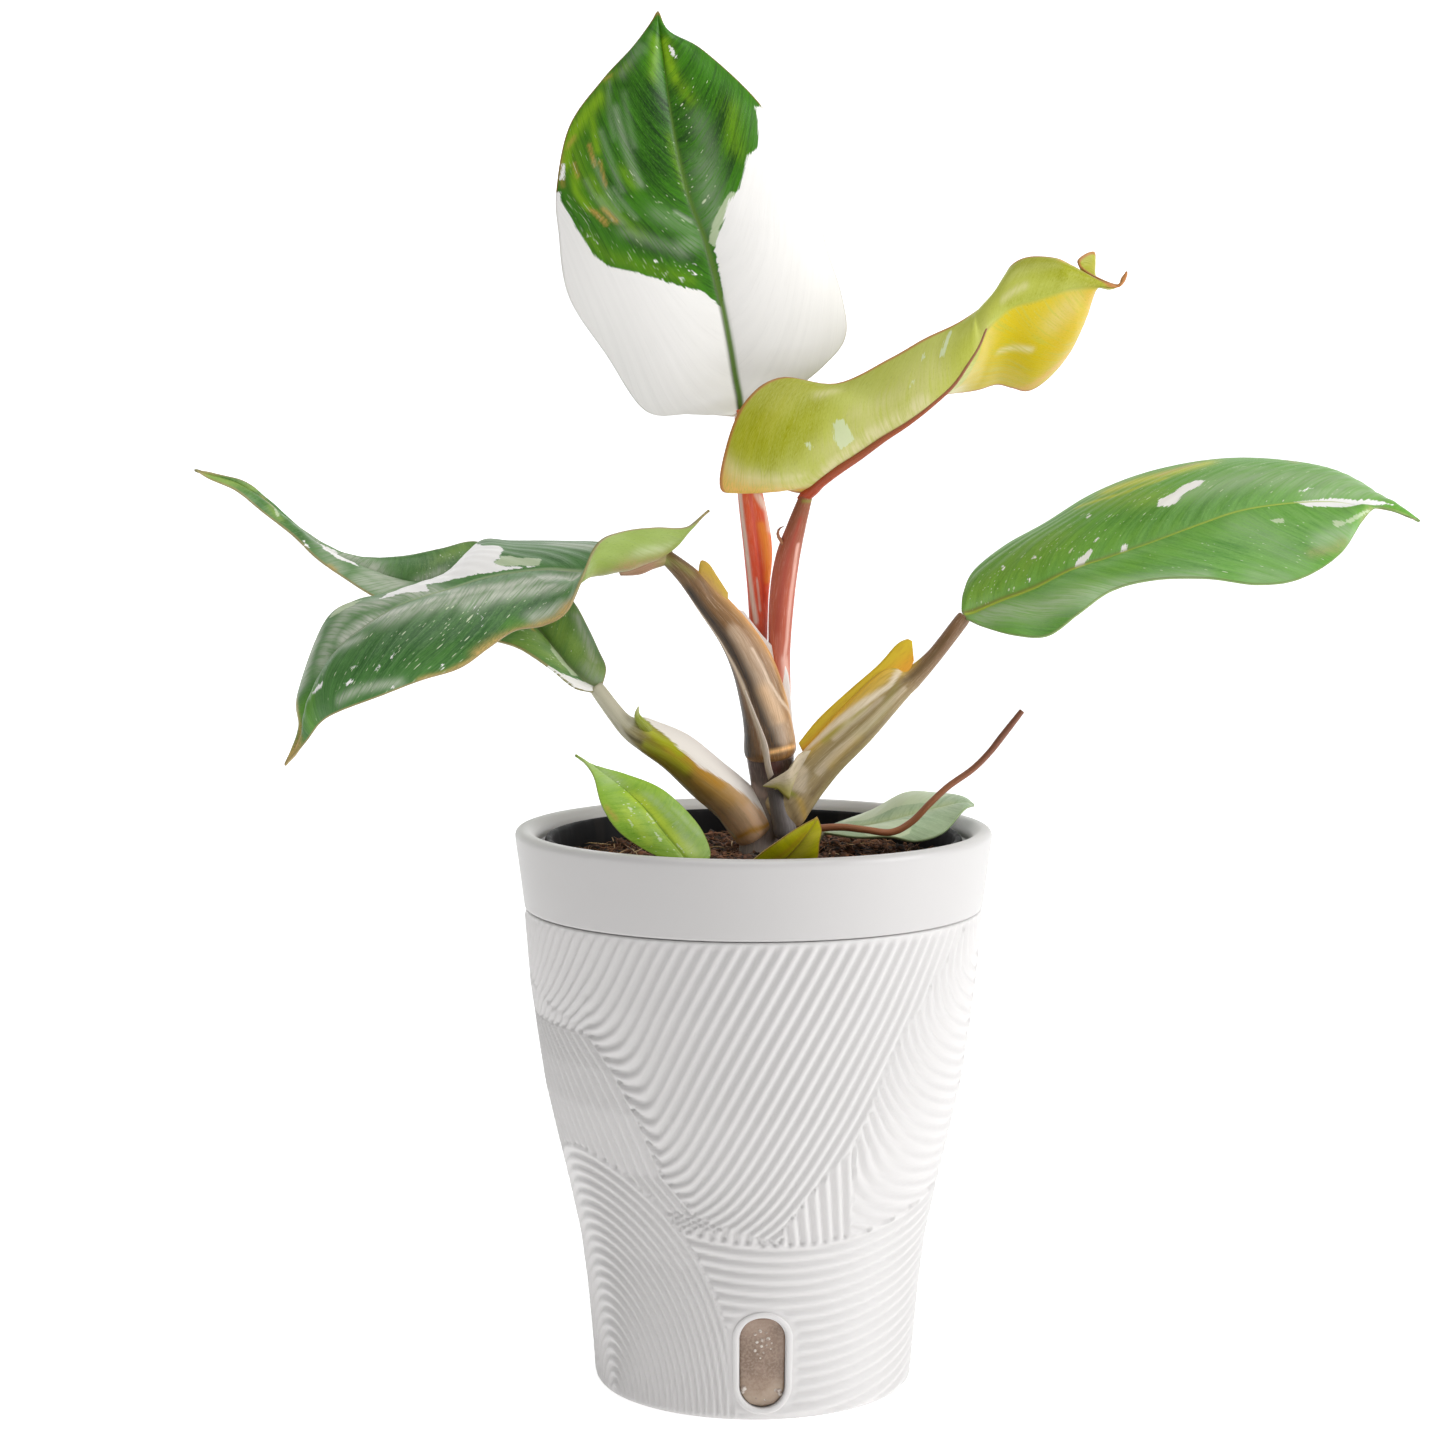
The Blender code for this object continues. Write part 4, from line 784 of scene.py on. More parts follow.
# Thin free edges of the sheaths: pairs of places, on the stalk and on the edge, then slot and tones.
SHEATH_EDGES = {
    "petiole_3_sheath_edge": ((
        (13.4,-3,173.6, 12.2,-2.6,176.1), (18.2,-3,175.6, 17.5,-2.6,182.7), (25,-3,182.1, 25.6,-2.6,190.3),
        (33.1,-3,188.1, 33.7,-2.6,197.4), (39,-3,192.9, 38.5,-2.6,202.8), (42.3,-3,196.2, 41.4,-2.6,204.4),
        (43.4,-3,198.6, 42.9,-2.6,203.9),
    ), "olive_stalk", (232, 164, 36), (216, 184, 30)),
    "petiole_4_sheath_edge": ((
        (-5,-2,212.5, -2.8,-1.6,212), (-1,-2,205.8, 2,-1.6,205.8), (2,-2,199.6, 6.2,-1.6,201),
        (4.5,-2,193.9, 9.2,-1.6,195.5), (6.8,-2,187.9, 10.1,-1.6,187.8), (8.4,-2,182.4, 10.6,-1.6,182),
        (9.5,-2,177.4, 11.4,-1.6,177),
    ), "bronze_stalk", (214, 190, 176), (238, 232, 228)),
    "petiole_4_front_edge": ((
        (-2.7,-7.7,191, -2.2,-7.9,191), (0.9,-8.1,181.3, 1.8,-8.4,181.3), (2.2,-8.1,176.2, 3.7,-8.6,176.2),
        (2.9,-7.6,170.8, 4.6,-8,170.8), (3.9,-6.5,166.4, 5.4,-6.8,168),
    ), "bronze_stalk", (196, 176, 150), (232, 216, 200)),
    "petiole_3_clasp": ((
        (2.4,-8.6,165, 2.6,-8.6,165.3), (4.9,-9,164.6, 4.4,-9.1,166.6), (6.5,-9.1,164.2, 6.8,-9.2,168),
        (8.9,-9,161.8, 9.8,-8.9,170.1), (11.4,-7.6,160.5, 12.4,-6.4,173.6), (14.6,-5.6,163.5, 16.4,-4.6,174.6),
    ), "olive_stalk", (160, 150, 70), (208, 192, 164)),
    "petiole_4_sheath_tip": ((
        (-15.3,-4.2,220, -14.8,-3.2,221.5), (-13.7,-4.2,219.2, -14.3,-3.2,225.6),
        (-11.8,-4.2,217.8, -12.1,-3.2,224.8), (-9.7,-4.2,215.9, -9.9,-3.2,221.5), (-7,-4.2,212.4, -7,-3.2,217),
    ), "bronze_stalk", (190, 148, 84), (204, 168, 62)),
}
# Short lengths: the stem's bare joint, the neck under the fourth leaf, the hooked tips of the fifth and
# second stalks' sheaths and the second leaf's midrib. Name: places, radii, skin, slot.
TAPERS = {
    "stem_internode": ((8.6,-5.6,152, 8.1,-6,155, 7.3,-6.2,159, 6.4,-5.6,163.5), (3.1, 3.1, 3, 2.6),
                       "stem_internode", "stem"),
    "petiole_4_neck": ((-24.2,-2.3,226.6, -28,-3.4,225.6, -31.5,-4.4,224, -35.8,-5.6,222.6),
                       (2.2, 2.4, 2.2, 0.9), "petiole_4_neck", "bronze_stalk"),
    "petiole_5_hook": ((-28.9,-3.9,180.2, -30.5,-4.2,182, -31.6,-4.2,184, -31.2,-4,186.2),
                       (1.5, 1.25, 0.8, 0.15), "petiole_5_hook", "olive_stalk"),
    "petiole_2_hook": ((7.3,-7.2,231.2, 6.4,-7.6,232.8, 6.7,-7.9,234.4, 8,-8.1,235.2), (0.5, 0.42, 0.3, 0.1),
                       "aerial_root", "rose_stalk"),
    "leaf_2_midrib": ((14,-8.4,243.6, 16,-9.4,245.1, 18,-10.4,247.1, 22.5,-12.3,250.4, 28,-13.3,254,
                       34.5,-14.2,258.6, 40.5,-14.2,262.4, 46.6,-13.7,267, 52.8,-12.7,272.6, 56.7,-12.2,278.2,
                       59.7,-11.2,283, 61.6,-10.2,287.4),
                      (1.6, 1.5, 1.4, 1.25, 1.05, 0.8, 0.62, 0.5, 0.45, 0.4, 0.35, 0.25), "leaf_2_midrib",
                      "rose_stalk"),
}


def smooth_through(points, count):
    """Evenly stepped points along a Catmull-Rom curve through the given ones."""
    points = np.asarray(points, float)
    ends = np.concatenate([[2 * points[0] - points[1]], points, [2 * points[-1] - points[-2]]])
    steps = np.linspace(0, len(points) - 1, count)
    first = np.minimum(steps.astype(int), len(points) - 2)
    t = (steps - first)[(...,) + (None,) * (points.ndim - 1)]
    a, b, c, d = (ends[first + k] for k in range(4))
    return 0.5 * (2 * b + (c - a) * t + (2 * a - 5 * b + 4 * c - d) * t ** 2 + (3 * b - a - 3 * c + d) * t ** 3)


def sheet(name, points, marks, *finishes, wrap=False):
    """A smooth skin through rows of points in mm, with named marks carried at each of its points."""
    rows, columns = points.shape[:2]
    bm = bmesh.new()
    bmesh.ops.create_grid(bm, x_segments=columns - 1, y_segments=rows - 1, size=1)
    mesh = bpy.data.meshes.new(name)
    bm.to_mesh(mesh)
    bm.free()
    mesh.vertices.foreach_set("co", (points * MM).ravel())
    for key, values in marks.items():
        layer = mesh.attributes.new(key, "FLOAT_VECTOR", "POINT")
        layer.data.foreach_set("vector", np.stack(values, -1).ravel().astype(np.float32))
    bm = bmesh.new()
    bm.from_mesh(mesh)
    bmesh.ops.remove_doubles(bm, verts=bm.verts[:], dist=0.00001)
    if wrap:
        bmesh.ops.holes_fill(bm, edges=bm.edges[:], sides=0)
        bmesh.ops.recalc_face_normals(bm, faces=bm.faces[:])
    bpy.data.meshes.remove(mesh)
    return plain_mesh(name, bm, *finishes)


def reach_of(across, along, ends):
    """Distance in mm from each place on the blade to a line through the given places."""
    nearest = np.full(across.shape, 1e3)
    for (x, y), (next_x, next_y) in zip(ends, ends[1:]):
        dx, dy = next_x - x, next_y - y
        share = np.clip(((across - x) * dx + (along - y) * dy) / max(dx * dx + dy * dy, 1e-9), 0, 1)
        nearest = np.minimum(nearest, np.hypot(across - x - share * dx, along - y - share * dy))
    return nearest


def depth_in(across, along, outline):
    """How far in mm each place lies inside a closed outline, below zero outside it."""
    ends = np.reshape((*outline, *outline[:2]), (-1, 2))
    inside = np.zeros(across.shape, bool)
    for (x, y), (next_x, next_y) in zip(ends, ends[1:]):
        if y != next_y:
            passes = (along < y) != (along < next_y)
            inside ^= passes & (across < (next_x - x) * (along - y) / (next_y - y) + x)
    return np.where(inside, 1, -1) * reach_of(across, along, ends)


def strokes(marks, kind, across, along, sharp=2):
    """How strongly the strokes of one kind show at each place."""
    most = 0 * across
    for amount, width, *ends in marks.get(kind, ()):
        away = reach_of(across, along, np.reshape(ends, (-1, 2)))
        most = np.maximum(most, amount * np.exp(-((away / width) ** sharp)))
    return most


def patches(marks, kind, across, along):
    """How far in mm each place lies inside the patches of one kind."""
    depths = [depth_in(across, along, outline) for outline in marks.get(kind, ())]
    return np.max(depths, axis=0) if depths else np.full(across.shape, -9.0)


def tone(red, green, blue):
    """A display colour from 0 to 255 as the shader's linear one."""
    shares = (channel / 255 for channel in (red, green, blue))
    return tuple(share / 12.92 if share < 0.04 else ((share + 0.055) / 1.055) ** 2.4 for share in shares)


def stalk_skin(name, path, radii, wing, wing_side, finish, found, seed, rooted=ROOTED, joined=JOINED):
    """A stalk with its wing, run on a little at both ends into what it grows from and what it bears. It
    carries its marks, placed on the skin rolled flat."""
    path = np.reshape(path, (-1, 3)).astype(float)
    length = np.linalg.norm(np.diff(path, axis=0), axis=1).sum()
    before, after = path[0] - path[1], path[-1] - path[-2]
    root = path[0] + before / np.linalg.norm(before) * rooted
    end = path[-1] + after / np.linalg.norm(after) * joined
    path = np.concatenate([[root], path, [end]])
    radii = (ROUNDED * radii[0], *radii, 0.8 * radii[-1])
    wing = (0, *np.interp(np.linspace(0, 1, len(path) - 2), np.linspace(0, 1, len(wing)), wing), 0)
    count = int(length / STALK_STEP)
    spine = smooth_through(path, count)
    radius = smooth_through(radii, count)
    fin = np.maximum(smooth_through(wing, count), 0)
    run = np.gradient(spine, axis=0)
    run /= np.linalg.norm(run, axis=1)[:, None]
    back = np.array((0.0, 1.0, 0.0)) - run * run[:, 1:2]
    back /= np.linalg.norm(back, axis=1)[:, None]
    side = np.cross(run, back) * wing_side
    angle = np.linspace(0, math.tau, STALK_TURNS + 1)
    off_wing = (angle - math.pi / 2 + math.pi) % math.tau - math.pi
    reach = radius[:, None] + fin[:, None] * np.exp(-((off_wing / WING_SPREAD) ** 2))[None]
    ring = back[:, None] * np.cos(angle)[None, :, None] + side[:, None] * np.sin(angle)[None, :, None]
    points = spine[:, None] + ring * reach[..., None]
    share = (np.linspace(0, len(path) - 1, count)[:, None] - 1) / (len(path) - 3) + 0 * angle[None]
    across = np.degrees(angle)[None] * STALK_ARC + 0 * share
    along = share * length
    marks = {
        "flat": (across, along + 17 * seed, share),
        "zones": (patches(found, "dry", across, along),
                  *(strokes(found, kind, across, along, sharp) for kind, sharp in (("light", 4), ("dark", 2)))),
        "tints": (*(strokes(found, kind, across, along) for kind in ("warm", "fresh")), 0 * share),
    }
    return sheet(name, points, marks, finish, wrap=True)


def stalk_finish(name, low, middle, high, light, dark, warm, fresh):
    """Succulent stalk: lengthwise streaks over a slow change of colour, with its darker, paler, warmer
    and greener marks."""
    stalk = Finish(name)
    flat, (_, _, share) = stalk.carried("flat")
    _, (dry, light_share, dark_share) = stalk.carried("zones")
    _, (warm_share, fresh_share, _) = stalk.carried("tints")
    streak = stalk.streaks((1.3, 0.07, 1), flat, 4.0)
    fine = stalk.streaks((5.0, 0.25, 1), flat)
    speck = stalk.streaks((3.2, 1.8, 1), flat, 5.0, 0.7)
    colour = stalk.mix(stalk.ramp(share, 0.0, 0.45), tone(*low), tone(*middle))
    colour = stalk.mix(stalk.ramp(share, 0.5, 0.95), colour, tone(*high))
    colour = stalk.mix(stalk.ramp(streak, 0.4, 0.7, 0.0, 0.3), colour, tone(*dark))
    colour = stalk.mix(stalk.ramp(speck, 0.44, 0.26, 0.0, 0.35), colour, tone(*dark))
    colour = stalk.mix(stalk.ramp(fine, 0.5, 0.75, 0.0, 0.3), colour, tone(*light))
    edges = stalk.ramp(fine, 0.3, 0.6, 0.65, 1.0)
    # Dark marks carry painted shade on the fourth stalk; light marks carry a painted highlight at the third
    # stalk's foot.
    for amount, shown in ((dark_share, dark), (warm_share, warm), (fresh_share, fresh), (light_share, light)):
        colour = stalk.mix(stalk.times(amount, edges), colour, tone(*shown))
    ragged = stalk.plus(dry, stalk.ramp(fine, 0.25, 0.75, -0.3, 0.3))
    colour = stalk.mix(stalk.ramp(ragged, -0.2, 0.35, 0.0, 0.97), colour, tone(*DRY_TONE))
    return stalk.finish(
        Base_Color=colour, Roughness=stalk.ramp(streak, 0.3, 0.7, 0.32, 0.48), Coat_Weight=0.06,
        Specular_IOR_Level=0.4, Normal=stalk.bump(fine, 0.35, 0.0003),
    )


def sheath_finish(name, low, high):
    """Papery edge of a sheath, streaked along its length."""
    edge = Finish(name)
    flat, (rise, _, _) = edge.carried("flat")
    streak = edge.streaks((9.0, 1.5, 1), flat, 4.0)
    colour = edge.mix(edge.ramp(rise, 0.1, 0.8), tone(*low), tone(*high))
    colour = edge.mix(edge.ramp(streak, 0.45, 0.75, 0.0, 0.4), colour, tone(*(0.82 * c for c in low)))
    return edge.finish(Base_Color=colour, Roughness=0.5, Normal=edge.bump(streak, 0.3, 0.0003))


stalk_finishes = {node: stalk_finish(node + " skin", *tones) for node, tones in STALK_TONES.items()}
for number, (node, (path, radii, wing, wing_side, slot_name)) in enumerate(STALKS.items()):
    joined = 0 if node in ("main_stem", "aerial_root") else JOINED
    skin = stalk_skin(node + "_skin", path, radii, wing, wing_side, stalk_finishes[node],
                      STALK_MARKS.get(node, {}), number, joined=joined)
    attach(skin, "root")
    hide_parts(node)
for name, (path, radii, like, slot_name) in TAPERS.items():
    taper = stalk_skin(name, path, radii, (0, 0), 1, stalk_finishes[like], {}, 20, joined=0)
    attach(taper, "root")
for name, (pairs, slot_name, low, high) in SHEATH_EDGES.items():
    pairs = smooth_through(np.reshape(pairs, (-1, 2, 3)), EDGE_ROWS)
    rise = np.linspace(0, 1, EDGE_STRIPS + 1)[None, :, None]
    points = pairs[:, :1] * (1 - rise) + pairs[:, 1:] * rise
    share = np.linspace(0, 1, EDGE_ROWS)[:, None] + 0 * rise[..., 0]
    marks = {"flat": (rise[..., 0] + 0 * share, share * 6, 0 * share)}
    edge = sheet(name, points, marks, sheath_finish(name, low, high))
    thicken(edge, EDGE_THICKNESS)
    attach(edge, "root")

# Leaf blades.
# Each blade is one thin living sheet with a midrib and side veins that curve to the tip. Its form is
# told by ribs across it, each with its places on the left edge, the midrib and the right edge.
BLADE_THICKNESS, BLADE_STEP, HALF_STRIPS = 0.7, 0.6, 54
MOST_BOW = 0.33
VEIN_PITCH, VEIN_RISE = 6.2, 0.42
VEIN_CURVE, USUAL_CURVE = {"leaf_1": 0.05, "leaf_3": 0.032}, 0.026
# Name: ribs from stalk to tip, left bow and right bow, slot.
BLADES = {
    "leaf_1": ((
        (-5.5,6,264.5, -3.5,8,266, -0.5,6,265.5), (-17.5,7,265, -4,8,270, 8.5,6,270),
        (-29.5,9,266, -5,9,275, 19,8,278), (-40,11,281, -6.5,9,284, 25,11,286),
        (-50.3,12,297, -9,9,296.5, 24,13,297), (-53,13,314.5, -13,10,311.5, 20,14,309.5),
        (-53.5,14,325.5, -17.5,11,323.5, 17,15,321.5), (-50,15,342.5, -21,12,338, 10.3,16,335),
        (-41,15,355, -23,13,349.5, 0.9,16,349.5), (-33,15,363.5, -24.5,14,361, -13.8,16,363),
        (-28,15,370, -25.5,15,369.5, -23,15,368), (-26,15,373.5, -26,15,373.5, -26,15,373.5),
    ), (0, 3, 4, 4, 1), (0, 3, 4, 3, 1), "green_white_leaf"),
    "leaf_2": ((
        (15.5,-6,245, 14,-8,244, 11,-8,244.5), (16,0,248.5, 16,-9,245.5, 1,-10,247),
        (17.5,7,252, 18,-10,247.5, -8.7,-13,245), (20.5,11,258, 22.5,-12,250.8, -7.3,-13,257),
        (25.5,13,265, 28,-13,254.3, -2.2,-10,268.5), (31.5,14,268.2, 34.5,-14,258.8, 7,-6,274.6),
        (36,14,268.2, 40.5,-14,262.5, 22,-5.5,273), (41.5,14,269.2, 46.6,-13.5,267, 36.3,-7,279.7),
        (48.4,14,269.6, 52.8,-12.5,272.6, 45.6,-7,285), (53.9,14.5,270.7, 56.7,-12,278.2, 53.9,-6,288.8),
        (58.3,15,271.2, 59.7,-11,283, 59.8,-5,292.5), (61.8,15,271.8, 61.6,-10,287.4, 63.6,-4,295.5),
        (66.8,16,273.2, 64.3,-9.2,290.4, 66.6,-3,300), (71,16.5,272.3, 68.6,-8.5,293.8, 69,-2.5,304.5),
        (75.6,17,271.5, 74.8,-7.5,295.6, 73.6,-2,306.7), (80.9,17,274.9, 81.8,-6.4,297.9, 80.5,-2.5,306.4),
        (86.3,16.5,281.6, 85,-5.8,298.6, 84.6,-3,304.6), (89.6,14.5,291, 88.8,-5.1,299, 88.7,-3.2,302.3),
        (91.8,10,302.5, 91.2,-4.7,299.1, 91.2,-3.5,301), (91.9,7,308.6, 92.8,-4.4,299.1, 92.7,-3.5,300.3),
        (87.4,3,306.4, 94.2,-4,299, 94,-3.5,299.8), (89.5,1,303.2, 95.5,-3.7,298.9, 95.4,-3.4,299.5),
        (97,-3,299.4, 97.4,-3,299.2, 97.6,-3.1,299.2), (98.6,-2.6,301.3, 99.1,-2.5,301.1, 99.4,-2.4,300.9),
        (99.8,-2,303, 99.8,-2,303, 99.8,-2,303),
    ), (0, -1, -1, -2, -4, -2.5, 0), (0, -4, -2, -3, -3, -1.5, 0), "lime_leaf"),
    "leaf_3": ((
        (56.5,0,211.5, 56.8,-1,210.9, 57.5,-3,210), (57.5,6,216.5, 60,0,211.5, 62.5,-7,207.8),
        (61,14,222, 67,0,214.5, 69.5,-15,206.4), (70,21,228.5, 76,-1,218, 78,-19,206.6),
        (81.5,26,234.5, 86,-2,223, 86,-20,212.5), (94,29,242, 96.5,-3,226.5, 95,-18,218.5),
        (107,29,247.5, 107.5,-4,230.5, 106,-20,221.5), (121,28,251, 119,-5,235, 119.5,-23,222),
        (134,25,252.5, 130.5,-6,239, 132.5,-25,220.5), (146.5,20,252, 143,-7,241, 143.5,-25,222),
        (157,13,250, 154,-8,241.5, 154.5,-21,228), (165,5,246, 161,-9,240.6, 161.5,-14.5,236.6),
        (168.5,0,243.2, 165.5,-9,240.4, 166,-9.8,239.9), (172.5,-4,240.9, 171.5,-8.8,239.4, 171.5,-9,239.1),
        (178.5,-8,236.5, 178.5,-8,236.5, 178.5,-8,236.5),
    ), (0, 3, 3, 3, 0), (0, 2, 1.5, 2, 0), "green_white_leaf"),
    "leaf_4": ((
        (-12,-4,239.3, -25,-2,228.2, -25.5,0,228.5), (-18,-7,235, -29,-3,227, -29.5,8,228.5),
        (-26.5,-11,235, -36,-4,223.8, -36.5,15,229), (-35.5,-15,234, -42.5,-5,222.6, -44,20,229.5),
        (-41.5,-20,231, -48,-6,222.9, -51,23,229.5), (-45.5,-26,222, -54.5,-8,223.5, -59.5,25,229.5),
        (-49.5,-29,213.5, -61,-9,223, -67.5,25,229.5), (-55.5,-29,210, -68,-10,222, -74.5,23,230),
        (-63,-29,208.6, -74.5,-11,220.5, -78.5,16,227), (-69.5,-31.5,204.4, -81,-13,218.5, -84,8,221),
        (-77,-34,199.2, -88,-15,216.5, -90.5,2,218.5), (-87.5,-36,196, -95,-17,214, -98,-2,216.5),
        (-98,-37,192, -103,-19,209, -107,-6,215), (-108.5,-36,188, -110.5,-21,202.5, -115,-10,209.5),
        (-113.8,-32,184.7, -116.5,-25,191.5, -121.3,-19,191),
        (-118,-28.5,179.5, -119,-26,181.7, -120.5,-23.5,183),
        (-121.2,-28,175.8, -121.7,-27,176.4, -122.2,-26,177), (-124,-28,173, -124,-28,173, -124,-28,173),
    ), (0, -3, -5, -7, -7.5, -2, 2, 3, 3.5, 4, 5, 5, 5, 4.5, 3, 1, 0, 0), (0, 2, 2, 2, 1, 0),
     "green_white_leaf"),
    "leaf_5": ((
        (-43.9,-2,189.8, -42.3,0,191.3, -41,1,192), (-48.6,-6,191.6, -46,1,192.5, -40.5,5,196),
        (-54,-8.5,196.3, -50.5,3,196, -42.5,9,200), (-59.5,-9,200.3, -55,6,201, -45.5,12,206),
        (-65,-7,203, -60,10,206.5, -50,16,213.5), (-74.5,-2,205, -67.5,15,212, -58,22,221),
        (-85.5,5,208, -77.5,20,215, -68.5,28,226), (-95.5,10,212, -87.5,23,217, -78,32,229),
        (-104,11,215, -97.5,23,218.5, -87.5,31,227), (-112,11,220, -107.5,21,222, -99,27,225),
        (-119.5,10,225.5, -118,18,227, -111.5,22,225.5), (-126,9,232, -126,15,233.5, -124,18,232),
        (-134,7,238.5, -133.5,11,241, -132.5,13,240.5), (-140.5,4,244.3, -141,7,246, -138.5,8,246.5),
        (-147.5,2,247.5, -147.5,3,248.6, -146,3,249), (-151,0,250, -151,0,250, -151,0,250),
    ), (0, 2, 3, 2, 1, 0), (0, 3, 2, 1, 0.5, 0), "green_white_leaf"),
    "leaf_6": ((
        (-18.5,-36,147.2, -17.8,-35.6,147, -16.5,-35,147.2), (-25,-38,150, -19,-36,150, -12,-32,148.8),
        (-30.5,-39,153, -23.5,-35.5,155.5, -13,-31,154), (-36,-40,157.5, -29,-35,162.5, -17,-31,160),
        (-40,-40,164, -35,-35,168, -24.5,-32,167), (-42,-38,171, -40.5,-35,172, -34,-33,171),
        (-44.5,-36,174.5, -44,-35,174.5, -42,-35,173.5), (-47,-35,176.5, -47,-35,176.5, -47,-35,176.5),
    ), (0, 0.8, 0), (0, 0.8, 0), "green_white_leaf"),
    "leaf_7": ((
        (4,-45,147.2, 5,-44.5,146.9, 6,-44,147.1), (-1,-47,149.3, 5.5,-45,149, 13,-43,148),
        (1,-48,152, 8.5,-46,151.5, 16,-44,150.5), (5.5,-49,155.5, 11.5,-47,155, 16.5,-46,155),
        (10.5,-49,159, 14,-48,158.5, 17,-47,158.5), (16,-49,162, 16,-49,162, 16,-49,162),
    ), (0, 0.6, 0), (0, 0.6, 0), "lime_leaf"),
    "leaf_8": ((
        (19.5,3,152, 19.3,1,151.2, 19.5,0,151), (26,9,153.5, 25.5,2,152, 28,-5,150.5),
        (33.5,15,155.5, 33.5,3,153, 37,-8,151), (42.5,20,159.5, 42.5,5,155, 44,-9,150),
        (51,20,159.5, 51,7,157, 51.5,-6,152), (58,16,159, 57.5,9,158, 57.5,2,157),
        (61,9,157.5, 61,9,157.5, 61,9,157.5),
    ), (0, 1, 0), (0, 1.2, 0), "pale_leaf"),
}
